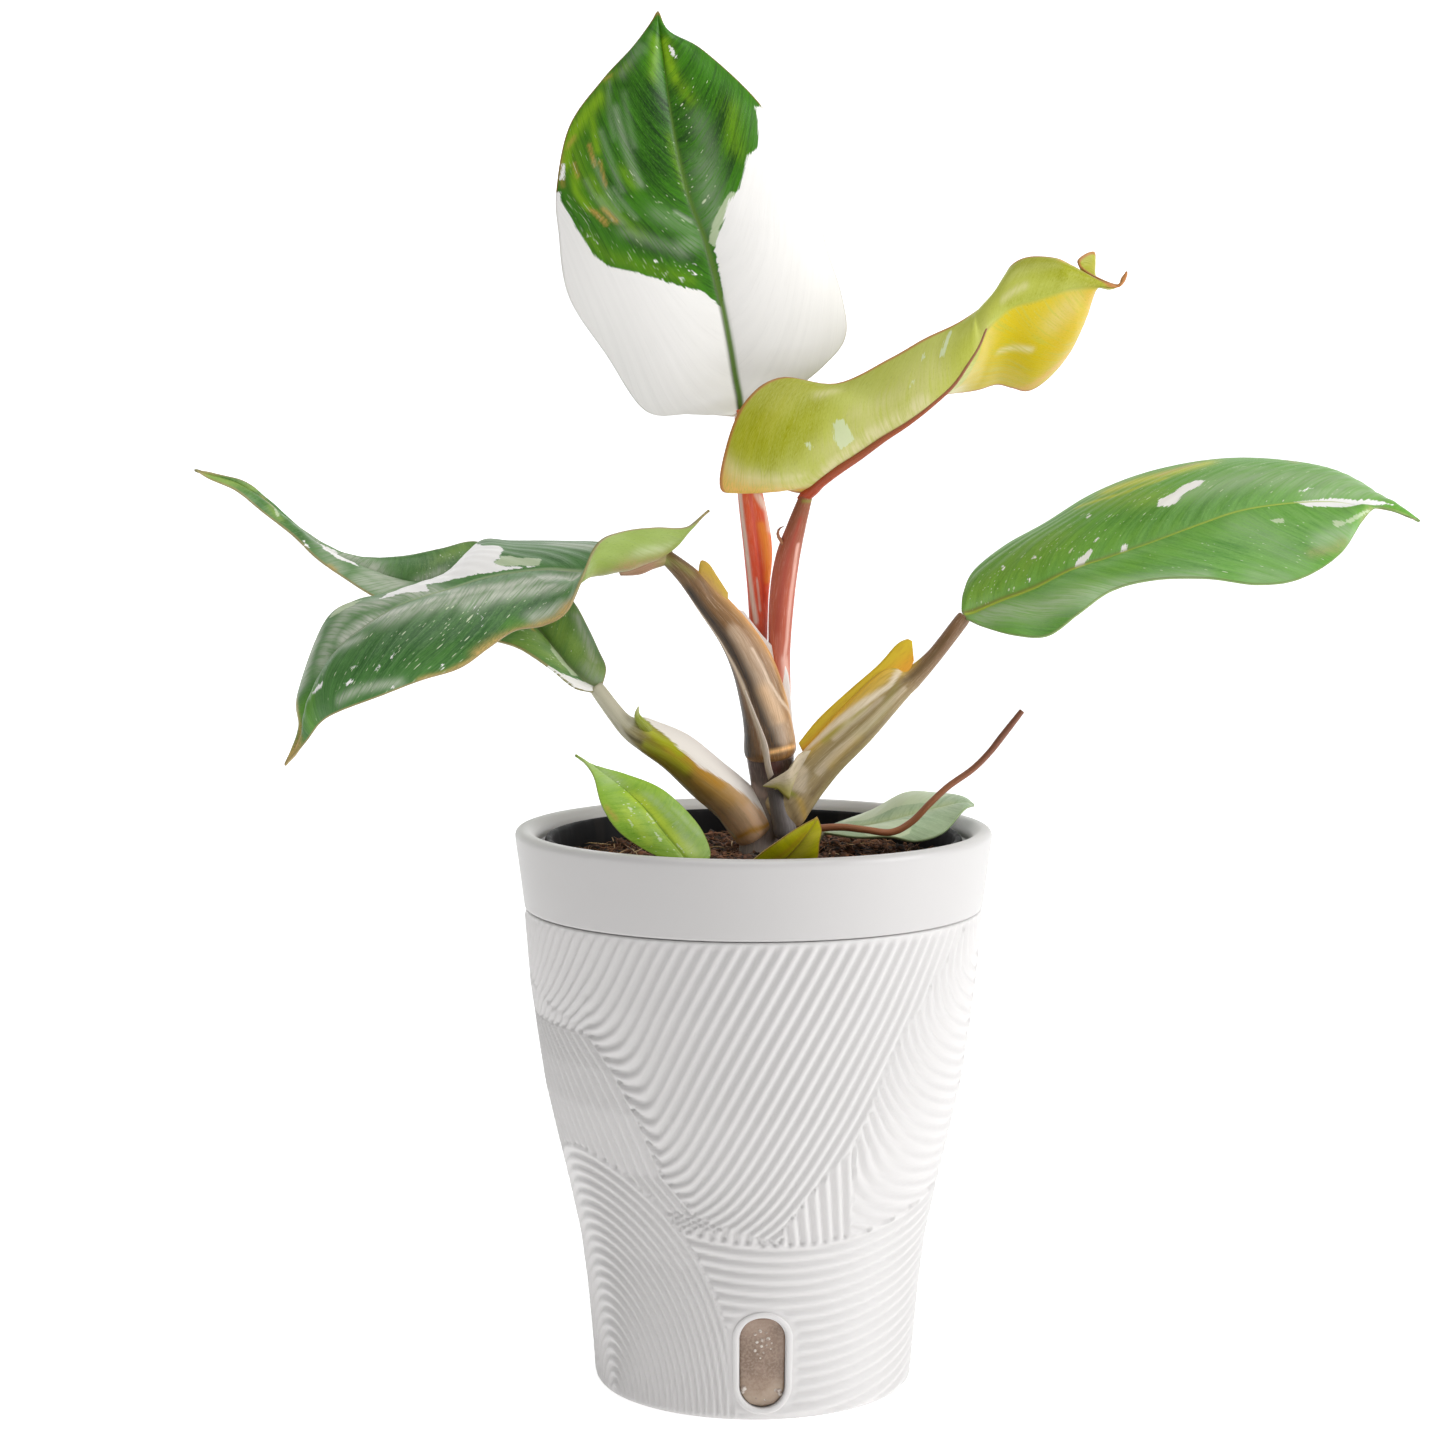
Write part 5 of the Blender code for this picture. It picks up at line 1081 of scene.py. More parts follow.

# Marks on the blades rolled flat, across and along. White, pale and backlit areas are closed outlines;
# every other mark is a stroke: how strong, how wide, then its places.
MARKS = {
    "leaf_1": {
        "pale": ((14,61.4, 13.6,59, 9.8,55, 5.4,50.6, 2.3,44.8, 0.9,46.3, 2.7,50.2, 7.9,56.9, 11.8,61),),
        "bright": (
            (0.9, 2.2, -32.6,66.3, -30.9,71.8, -26,77, -21,82), (0.4, 3, -29,62, -29.5,70),
            (0.8, 1.2, -23.5,80.1, -23.1,74.4, -22.7,69.8), (0.5, 1.6, -20,86, -12,92),
            (0.8, 1.6, -30.8,63.5, -31.3,59.2, -29.6,54.7), (0.45, 1.2, -0.6,62, -2,76),
            (0.5, 2.5, -26,62, -24,54, -18,47), (1, 1.6, 1.3,101.9, 1.7,96.9, 2.9,91.4),
            (0.6, 2, 2.9,91.4, 5.9,86), (0.35, 2.2, -32.5,44.7, -28.9,41, -20.2,38.6, -7.4,35.6),
            (0.5, 2, -16.3,64.9, -15,62.2), (0.5, 1.5, -20.9,48.1, -18.9,47.4), (0.5, 3, 16.4,83.7, 16,73.7),
            (0.5, 1.5, -2.3,102, -4.9,90.2),
        ),
        "painted_sheen": (
            (0.5, 1.2, -16.1,80, -14.9,71.7, -13,62), (0.3, 0.8, -18.1,86, -17.6,73),
            (0.25, 1, -13.4,84, -12.2,72), (0.35, 0.9, -21,74, -18.2,60), (0.4, 1.6, -25,57, -22,50),
            (0.3, 1.4, -7.4,98.7, -14,88.9), (0.35, 0.8, -27.6,62, -24.2,51), (0.45, 0.8, -24.2,67, -21,54),
            (0.4, 0.9, -20.6,60, -17.5,52), (0.4, 4, 6.8,68.8, 5.2,50.9), (0.25, 3, 7.8,80.9, 9,70.3),
            (0.3, 3, -10.3,53.4, -3.4,49.7), (0.35, 2, -22,47.5, -8,43), (0.45, 2.5, -8.1,43.6, -3.5,46.5),
            (0.8, 1, -5.6,54.2, -2.5,52.1),
        ),
        "rust": (
            (0.8, 0.5, -25,70.8, -24.3,66.3), (0.7, 0.4, -22.6,67, -22.4,61), (0.9, 0.45, -29.3,54, -26.6,49.1),
            (0.8, 0.5, -28.2,53.5, -25.9,50), (0.5, 0.6, -31.8,70, -29.3,72.1),
            (0.5, 0.5, -19.7,86.6, -17.6,88), (0.8, 0.8, -25.2,54, -23.4,50.6), (0.7, 0.5, -30.4,66, -29.8,63),
            (0.5, 0.8, -35,61, -34,70),
        ),
        "shade": (
            (0.9, 7, -4.9,84.2, -8.6,66.7), (0.5, 5, -12.7,78.5, -13,91.1), (0.9, 2.4, -20.8,45.1, -5.8,41.6),
            (0.7, 6, 13.3,84, 10.6,71.1), (0.5, 6, 2,86, 2,70), (0.5, 4, -24,50, -10,46),
            (0.7, 3, -21.5,62.6, -18.8,60.1),
        ),
        "fleck": (
            (0.9, 3.5, -33.5,55.2, -32.7,49.7, -30.4,44), (0.8, 3.5, -27.5,42.3, -17.2,39.8, -4.6,35.7),
            (0.4, 5, -26.6,69.5, -25.3,57), (0.3, 8, 9,88.5, 3.5,72.8), (0.3, 10, -11.4,57.8, 1.6,64.4),
        ),
        "white": (
            (-60,59.2, -37.6,58.9, -36.2,59.1, -36.9,56.8, -36.3,54.1, -35.6,47.8, -33.1,42.6, -32.6,41.2,
             -31,39.7, -28.6,38.1, -19.9,36.6, -11.8,34.1, -4.5,32.5, -2,30, 0.4,27, 0.4,-5, -60,-5),
            (-0.4,-5, -0.4,27, 1.2,33, 1.9,44.3, 3.3,47.2, 11.1,58.9, 14.5,62.3, 17.2,68.1, 19,72.4, 22.8,75.4,
             23.2,78.5, 23.8,81.8, 23.8,84.8, 60,86, 60,-5), (-34,66.3, -33.1,66, -34.1,62.2, -35.7,62.2),
            (2.3,100.5, 3.1,100, 4,97.1, 2.9,97.4), (-32.5,46.5, -31.9,45.7, -32.3,45.2, -33,46),
            (-31.3,44.7, -30.1,44, -30.8,43.7), (-16.7,40.6, -15.4,40.4, -14.6,39.4, -16.1,39.8),
            (-7.5,38.2, -5.5,37.6, -5.2,36.8, -6.9,37.5), (-10.2,36.2, -8.4,35.8, -9.1,35.2, -10.1,35.4),
            (-14.7,36.8, -13.4,36.6, -14.3,36.1), (-23.7,40, -23,39.5, -23.6,39.2),
            (-5.7,40, -4.7,39.8, -5.1,39.2),
        ),
    },
    "leaf_2": {
        "pale": (
            (13,23.4, 11.6,25.1, 7.9,23.5, 4.7,21.7, 4.9,20.4, 5.4,17.7, 8.7,19.2),
            (13.8,15.9, 13.4,16.3, 11.1,15.5, 11.3,14.9),
            (8.2,50.1, 9.9,52.3, 12.6,54.9, 10.9,55.2, 8.9,53.2, 7.3,51),
            (11.1,45.8, 12.1,47, 12.1,48.1, 10.7,46.9), (7.5,40.1, 8.5,41.2, 8.3,41.7, 7,40.3),
        ),
        "bright": ((0.25, 6, 27,14, 30,24),),
        # The far half, yellow where light shines through it from behind: painted light.
        "backlit_area": ((-0.6,63, -0.6,100.4, -44,100, -44,52, -20,53, -6,58),),
        "painted_sheen": (
            (0.75, 3.4, 2,8, 3,23.7, 2.2,40), (0.35, 6, 6,18, 6,46), (0.6, 1.4, 30,9.4, 24,8, 14,8.2, 8,9),
            (0.4, 4, 9.6,28.2, 7.5,37.6), (0.5, 1.2, 3.2,74, 4.2,80), (0.8, 1.2, -12.3,70.2, -15.7,81.2),
            (0.5, 1.5, 21.4,27.4, 20.3,30.7), (1, 3.4, -36,66, -30,58, -20,55), (0.3, 5, -3,66, -9,60),
            (0.35, 4, -4,94, -9,88), (0.6, 5, 12,5, 5,5),
        ),
        "rust": (
            (0.9, 2.1, 34,9, 27,6.2, 22,5.6, 12,4.6, 3.2,2.2), (0.8, 2.2, -36,76, -32,84, -27,92),
            (0.6, 2.4, -27,92, -20,96.5, -12,99, -3,99), (0.25, 5, -20,90, -10,94),
            (1, 1, 9.4,91.8, 5.4,98, 1,104, 0,111),
        ),
        "shade": (
            (1, 9, 29.7,30, 31.9,19.7, 29,12), (1, 4.5, 21,25, 19,16, 18,11), (0.8, 3, 16,20, 14,13),
            (1, 3.4, 29,15, 20,12), (1, 4.4, 13,78, 10.4,86, 6.4,91, 3,97, 1,102),
            (0.9, 4, -12.9,103.5, -8,106), (0.5, 3, 12,64, 13,76), (0.5, 2, 1.2,76, 1,90),
        ),
    },
    "leaf_3": {
        "white": (
            (-13.1,58.4, -15.5,59.2, -16.8,63.6, -19.3,65.9, -19.5,69.1, -18.2,71.9, -15.9,70.2, -14.9,66.6,
             -14.1,65.5, -11.5,63.3, -11.3,60.6),
            (1,33.1, -1.4,33.4, -3.6,36.3, -5.2,39.1, -3.6,39, -1.1,36.6, 1,34.2),
            (-0.5,45.9, -2.5,46.5, -3.2,48.3, -2.3,48.4, -0.5,47.7),
            (-7.4,39.9, -8.8,41.5, -8.1,41.9, -7.3,40.9),
            (-0.3,93.8, -0.6,98.3, -1.7,108.7, -2.2,115.2, -1.5,120.3, -0.4,115.5, 3.4,107.3, 2.4,98.1),
            (-19.3,40.6, -21.1,41.4, -20.1,41.8, -19.1,40.9), (-15.9,45.6, -16.8,46.6, -15.7,46.6),
            (-10.7,15.9, -12.9,17.4, -11.3,17.1, -10.3,16.3), (-9.9,24.3, -10.8,25.7, -9.4,25.5),
            (-3.5,20.5, -3.4,21.3, -2.6,20.7), (-4.4,95.5, -5.6,99.2, -5.2,99.2, -3.9,96.3),
        ),
        "pale": (
            (8.4,102.8, 9.1,105.8, 0.7,115.9, 1.6,114.6, 4.4,112.5, 9.2,107.5, 11,103.4),
            (6.1,86.4, 6.1,90.4, 7.9,90.7, 7.7,88),
        ),
        "bright": (
            (0.95, 3.2, -32,48, -31,56.8, -30.4,64, -31,72), (0.16, 8, -6,6, -14,30),
            (0.8, 1.2, -29,40, -26,50, -27,62), (0.2, 6, -28.2,45.1, -17.5,57.1),
        ),
        "painted_sheen": (
            (0.8, 5, 4.5,5.7, 12.8,22.2, 16.8,37.2), (0.7, 3, 16.1,40.3, 22.6,65.8),
            (0.4, 4, 24.8,79.5, 26.8,88), (0.6, 3, 15.6,99, 12,106), (0.6, 3, -2.9,98.4, -5.9,117.6),
            (0.6, 6, -14,72, -13,84, -9.8,96, -8,108), (0.5, 2.5, -13.4,63.3, -15.1,78),
            (0.5, 1.5, -37.6,51.1, -37.5,54.6), (0.25, 5, 6.1,78.9, 23.1,92.9),
            (0.4, 3, -20.3,80.7, -12.6,96.1),
        ),
        "rust": (
            (0.35, 1.6, 19.1,96.4, 17.6,102.5, 15.4,104.7), (0.6, 1.2, -30.8,60.6, -33.5,69.3),
            (0.4, 1.2, -29.8,92.9, -22.8,95.3), (0.5, 1, 2.3,113.8, 8.1,110.6),
        ),
        "shade": (
            (0.6, 6, -11.6,50.8, -5.6,69.1, -8,82.8), (0.6, 4, 19.7,19.6, 22.2,31.3),
            (0.5, 5, 15.6,62.2, 12.3,83.3), (0.5, 4, 15.5,52, 19,66.5), (0.6, 4, 17,88, 18,97),
        ),
        "fleck": (
            (0.9, 6, -5.5,9.4, -8.1,20.1, -11.2,32.3), (0.8, 7, -13.5,32.8, -10.3,45.1, -17.5,57.1),
            (0.4, 8, -27.1,70.6, -9.8,96), (0.3, 8, 14.9,54.7, 17.4,93.5), (0.7, 3, -2.6,3, -9.4,11.1),
        ),
    },
    "leaf_4": {
        "white": (
            (31.4,48.9, 22.6,46.5, 20.8,42.4, 16.4,41.6, 12.2,43.2, 9.3,43.6, 8.5,45.4, 6.6,45.6, 4.9,44.3,
             2.7,39.2, 2,33.7, 1.9,40.7, 2,47.5, 3.9,55.7, 6.3,65.2, 1.7,64.4, 7.5,77.4, 24.5,53.8, 28.5,51.7),
            (-15.2,58.4, -13.2,57.4, -13.9,57.1, -15.4,58), (-17.5,57.8, -16.3,57.3, -17,57.3),
            (-19.6,57.9, -18.2,57.3, -18.7,57, -19.8,57.5), (-21.3,58.5, -20.6,58, -21.5,58.1),
            (-20.4,78.3, -18.7,77.6, -19.2,77.3, -20.6,77.9), (-28.8,69.7, -27.4,69.4, -27.5,69.1, -29,69.4),
            (-6.7,103.9, -10.1,98.7, -12.2,96.4, -12.1,97.9, -8.4,102.6),
            (-19.1,90, -19.3,88.7, -19.8,87.8, -20.2,88.4, -19.9,89.7),
            (-21.3,82.5, -20.2,81.1, -20.9,81, -21.8,81.8), (-16.5,87.9, -16.4,86.9, -17.2,86.2, -17,87.2),
            (-27.2,80.8, -27.5,79.6, -28.1,79.5),
        ),
        "pale": (
            (11.5,43.3, 10.9,40.7, 8.8,38.3, 6.7,33.2, 2,33.7, 3.4,39.1, 4.9,44.3, 7.9,45.5, 9.3,43.6),
            (12.8,91.9, 15.1,89.1, 14.8,85.1, 11.4,82.2, 11.2,85.9, 11,89.1),
        ),
        "bright": (
            (1, 9, -15,22.2, -16,14.5, -14.8,6.8), (0.8, 3, 1.3,110.1, 2.2,112.1),
            (0.3, 6, -21.1,68.1, -16.6,46.5), (1, 5, -10.9,23.5, -15,22.2), (0.7, 2.5, -24.2,52.3, -23.6,50),
            (0.8, 4, -6,104, -7.6,110),
        ),
        "painted_sheen": (
            (1, 3, -4.2,24.8, -8.9,37.7, -9.8,48.6, -7.6,58.7, -5.7,66.1),
            (1, 3, -5.7,66.1, -5.3,73.7, 0.6,82.3, 0.9,90.5), (0.7, 3.2, 21.3,27.4, 16.2,20),
            (0.7, 2.2, -23,34.9, -23.2,39.9, -23.7,45.8), (0.8, 3, -7.4,55.9, 1.7,64.4, 5.1,77.8, 10,86.1),
            (0.6, 2, -8.3,84.9, 1.1,99), (0.6, 2.5, 10.9,97.1, 6.1,104.3),
            (0.6, 1.2, -27.6,78.1, -23.1,87.1, -21.5,92.4), (0.8, 3, -10.5,40, -12.7,52, -9.5,62),
            (0.6, 3, -8.4,69.4, -7.4,76), (0.5, 2, -15.1,50.9, -15.8,35.4), (0.9, 3, -14.2,36, -12.7,58),
            (0.6, 3, 8,88, 2,99), (0.7, 3.4, -9,64, -7.4,76), (0.6, 1.6, -13.9,14.1, -11.9,8.2),
        ),
        "rust": (
            (1, 1.7, -28.3,61.5, -27.1,56.9, -27,53.8, -26.9,46, -26.5,40.5, -24,36),
            (0.9, 0.7, -29.3,73.9, -30.1,69.2, -29.5,65.1, -28.4,61.1),
            (1, 1.8, -0.6,118, -0.6,120.9, -0.1,127.1), (0.7, 1, 6.3,109, 2.6,114.8, -0.6,120.9),
            (0.8, 1, -15.1,1.2, -16.8,0), (0.8, 3.2, -9.2,15.5, -7,8.2), (0.3, 3, -5.4,15.1, -9.6,24),
        ),
        "shade": (
            (1, 8, -16.7,80, -19,68.1, -22,59.1), (0.9, 5, -18,59.1, -19.5,41.5),
            (0.35, 3, 13.9,37.7, 6.5,28.4), (0.6, 3, -15.8,90.7, -19.4,78.3), (0.5, 3, -25.3,39.5, -24.7,45),
        ),
        "fleck": (
            (0.6, 8, -16.7,75.3, -19.7,60.7), (0.5, 6, -17.9,88.4, -25.6,73), (0.5, 5, -16.2,56.7, -16.8,39.8),
            (0.3, 6, -11.2,99.2, -16.7,75.3),
        ),
    },
    "leaf_5": {
        "white": (
            (1.6,96.4, 3.4,92.7, -5.3,80.1, -6.2,85.5, -4.6,92.7),
            (-13.5,11.8, -10.5,8.5, -3.9,4.9, 0.5,2.2, -0.9,0, -3,0, -5.6,2.2, -9.7,6.3, -12.4,10.1),
            (-6.6,98.9, -7.4,96, -7.8,97.6),
        ),
        "pale": (
            (0.2,20.8, 0.7,19.9, 0.5,16.3, 0.3,11.5, -2.7,5.9, -5.8,6.9, -7.8,11, -8.2,16),
            (0.2,113.2, -1.4,111.9, -4,108.5, -4.5,109.7),
        ),
        "bright": (
            (1, 3, -0.4,133.3, -1.9,127.3, 1,121), (0.7, 5, 9.3,64.1, 13.8,60.6),
            (0.8, 2.5, -18.2,25.4, -8.2,10.7), (0.7, 6, -12.9,23, 5,20), (0.9, 5, 4,20, 6,2),
            (0.8, 1.5, -2.9,112.4, -4.6,108.2), (0.5, 3, 8.7,26.5, 12.8,22.6),
        ),
        "painted_sheen": (
            (0.9, 3.5, -8.4,65.4, 1.1,79.4, 2.7,88.8), (0.4, 3, 1,101.9, -9.8,83.1),
            (0.7, 3, -10.6,76, -12.4,65.9), (0.8, 3.5, -10,66, -6,76), (0.5, 1.6, 11.6,20.9, 9.7,14.2, 6.6,7.1),
            (0.4, 3, 4,6, 1,1), (0.5, 2, 2,103.4, 2.1,92.9), (0.6, 2, 1.4,64.8, 4.7,61),
        ),
        "rust": (
            (1, 1, -10.2,87, -10.7,84.7), (1, 1, -6,27.2, -7.5,25.1), (0.6, 0.8, -0.2,134.9, 0.5,130.7),
            (0.7, 0.8, 0.3,116.1, -1.4,111.9),
        ),
        "shade": ((0.7, 4, 8.8,73.8, 7.7,58.2), (0.2, 4, 5,20, 3.9,7.7), (0.5, 3, -5.2,106.2, -7.2,98.5)),
        "fleck": (
            (0.6, 4, 3.4,63.2, 13.8,60.6), (0.5, 5, -15.6,25.3, -11.2,13.4), (0.4, 4, 6.7,22.2, 5.9,12.2),
        ),
    },
    "leaf_6": {
        "bright": ((1, 3, 3,6, 1.4,15, 1,23), (0.7, 2, -5.5,10, -5,22)),
        "pale": (
            (-2.6,9, -2.2,13.6, -1.8,9.6), (-1,14.5, -0.8,18.4, -0.3,15), (-6.6,17, -6,20, -5.8,17.4),
            (0.9,4, 1.1,7.6, 1.5,4.6), (-4.2,20.4, -3.7,22.4, -3.3,20.8),
        ),
        "shade": ((0.6, 2.4, -6.5,9, -7.5,18), (0.4, 2, 5,10, 4.6,22)),
        "painted_sheen": ((0.5, 2, 4,6, 6,14, 5,24), (0.8, 3, 0,31, 0,40), (0.5, 1.5, 10,12, 9,20)),
        "rust": ((0.7, 0.7, -8.4,22, -8,26),),
        "fleck": ((0.6, 5, 0,6, 0,26),),
    },
    "leaf_7": {
        "bright": ((0.8, 2, 2,4, 2,14),),
        "rust": ((0.5, 1, -3,5, -1,14),),
    },
    "leaf_8": {
        "pale": ((-20,6, -4,5, -3,12, -6,20, -4,30, -7,36, -22,36), (2,12, 5,8, 14,10, 12,22, 5,26, 2.5,20)),
        "bright": ((0.5, 2, 0,4, 0,36),),
    },
}
# Name: upper face, underside, how deep and how wide the midrib's groove is in mm, how far along it is
# tinted, and how deep in mm the blade quilts between its veins. Below zero, the midrib is a ridge.
LEAF_FACES = {
    "leaf_1": ("glossy green", "pale green", 0.45, 1.4, 130, 0.02),
    "leaf_2": ("young lime", "young lime", -0.4, 1.3, 62, 0.03),
    "leaf_3": ("fresh green", "pale green", 0.4, 1.2, 120, 0.09),
    "leaf_4": ("dark green", "light green", 0.35, 1.2, 120, 0.08),
    "leaf_5": ("grey green", "pale green", 0.4, 1.2, 130, 0.06),
    "leaf_6": ("spring green", "spring green", 0.3, 0.8, 40, 0.05),
    "leaf_7": ("olive yellow", "olive yellow", 0.25, 0.7, 30, 0.04),
    "leaf_8": ("cream green", "cream green", 0.3, 0.9, 45, 0.05),
}
# Face: mid, deep, bright, painted sheen, rust, midrib and margin as display colours, roughness, how strong the
# side veins and the streaks show, and how wide the margin is in mm.
FACE_TONES = {
    "glossy green": ((62, 122, 20), (20, 60, 4), (140, 184, 24), (168, 184, 156), (208, 160, 84), (96, 130, 50),
                     (150, 112, 60), 0.3, 0.12, 1, 0.6),
    "fresh green": ((110, 168, 66), (68, 130, 34), (206, 206, 56), (176, 196, 160), (190, 160, 120),
                    (172, 192, 72), (130, 150, 90), 0.36, 0.22, 0.8, 0.5),
    "dark green": ((82, 130, 66), (46, 90, 38), (98, 154, 44), (202, 206, 190), (206, 170, 104),
                   (150, 168, 126), (158, 140, 96), 0.33, 0.2, 0.8, 0.55),
    "grey green": ((92, 136, 74), (56, 100, 44), (142, 172, 82), (204, 208, 192), (200, 168, 96),
                   (160, 176, 130), (158, 140, 96), 0.36, 0.2, 0.8, 0.5),
    "light green": ((142, 160, 90), (116, 142, 66), (152, 174, 84), (196, 206, 164), (186, 146, 110),
                    (176, 160, 120), (160, 140, 110), 0.42, 0.14, 0.6, 0.5),
    "pale green": ((140, 166, 108), (112, 144, 84), (164, 184, 104), (196, 204, 180), (190, 160, 110),
                   (180, 180, 130), (150, 150, 110), 0.45, 0.18, 0.6, 0.5),
    "young lime": ((180, 186, 78), (152, 155, 0), (210, 184, 0), (222, 214, 168), (226, 172, 92), (168, 84, 44),
                   (176, 102, 62), 0.38, 0.07, 0.35, 1.2),
    "spring green": ((136, 172, 52), (96, 144, 22), (180, 202, 58), (176, 196, 140), (180, 150, 70),
                     (150, 182, 70), (130, 150, 60), 0.34, 0.16, 0.7, 0.35),
    "olive yellow": ((182, 178, 10), (146, 146, 6), (204, 194, 60), (190, 186, 120), (170, 120, 40),
                     (170, 150, 50), (150, 110, 50), 0.36, 0.14, 0.6, 0.4),
    "cream green": ((176, 196, 160), (120, 156, 108), (196, 206, 150), (206, 214, 200), (190, 170, 120),
                    (184, 200, 150), (140, 160, 110), 0.38, 0.14, 0.7, 0.4),
}
LEAF_WHITE, LEAF_PALE = (247, 245, 242), (208, 220, 184)
# How each size of fleck is stretched along the veins, how large it is in its cell and how dense.
FLECKS = (((1.5, 0.9, 1), 0.24, 0.45), ((0.75, 0.42, 1), 0.22, 0.35), ((0.34, 0.15, 1), 0.15, 0.2))


def blade_points(ribs, left_bow, right_bow):
    """Rows of points from edge to edge of a blade in mm, with their places on the flat blade."""
    ribs = np.reshape(ribs, (-1, 3, 3)).astype(float)
    length = np.linalg.norm(np.diff(ribs[:, 1], axis=0), axis=1).sum()
    count = int(length / BLADE_STEP)
    left, middle, right = (smooth_through(ribs[:, side], count) for side in range(3))
    ahead = np.gradient(middle, axis=0)
    place = np.linspace(0, 1, count)
    share = np.linspace(0, 1, HALF_STRIPS + 1)
    halves = []
    for edge, side, bow in ((left, -1, left_bow), (right, 1, right_bow)):
        out = edge - middle
        arch = np.cross(out, ahead) * side
        arch /= np.maximum(np.linalg.norm(arch, axis=1), 1e-9)[:, None]
        limit = np.linalg.norm(out, axis=1) * MOST_BOW
        bowed = np.clip(np.interp(place, np.linspace(0, 1, len(bow)), bow), -limit, limit)
        arch *= bowed[:, None]
        points = middle[:, None] + out[:, None] * share[None, :, None]
        points = points + arch[:, None] * (4 * share * (1 - share))[None, :, None]
        halves.append(points)
    points = np.concatenate([halves[0][:, ::-1], halves[1][:, 1:]], 1)
    steps = np.linalg.norm(np.diff(points, axis=1), axis=2)
    across = np.concatenate([np.zeros((count, 1)), np.cumsum(steps, 1)], 1)
    across -= across[:, HALF_STRIPS : HALF_STRIPS + 1]
    run = np.cumsum(np.linalg.norm(np.diff(middle, axis=0), axis=1))
    along = np.concatenate([[0], run])[:, None] + 0 * across
    limit = np.where(across < 0, -across[:, :1], across[:, -1:])
    edge = np.minimum(limit - np.abs(across), np.minimum(along, along[-1:] - along) * 0.7)
    return points, across, along, edge


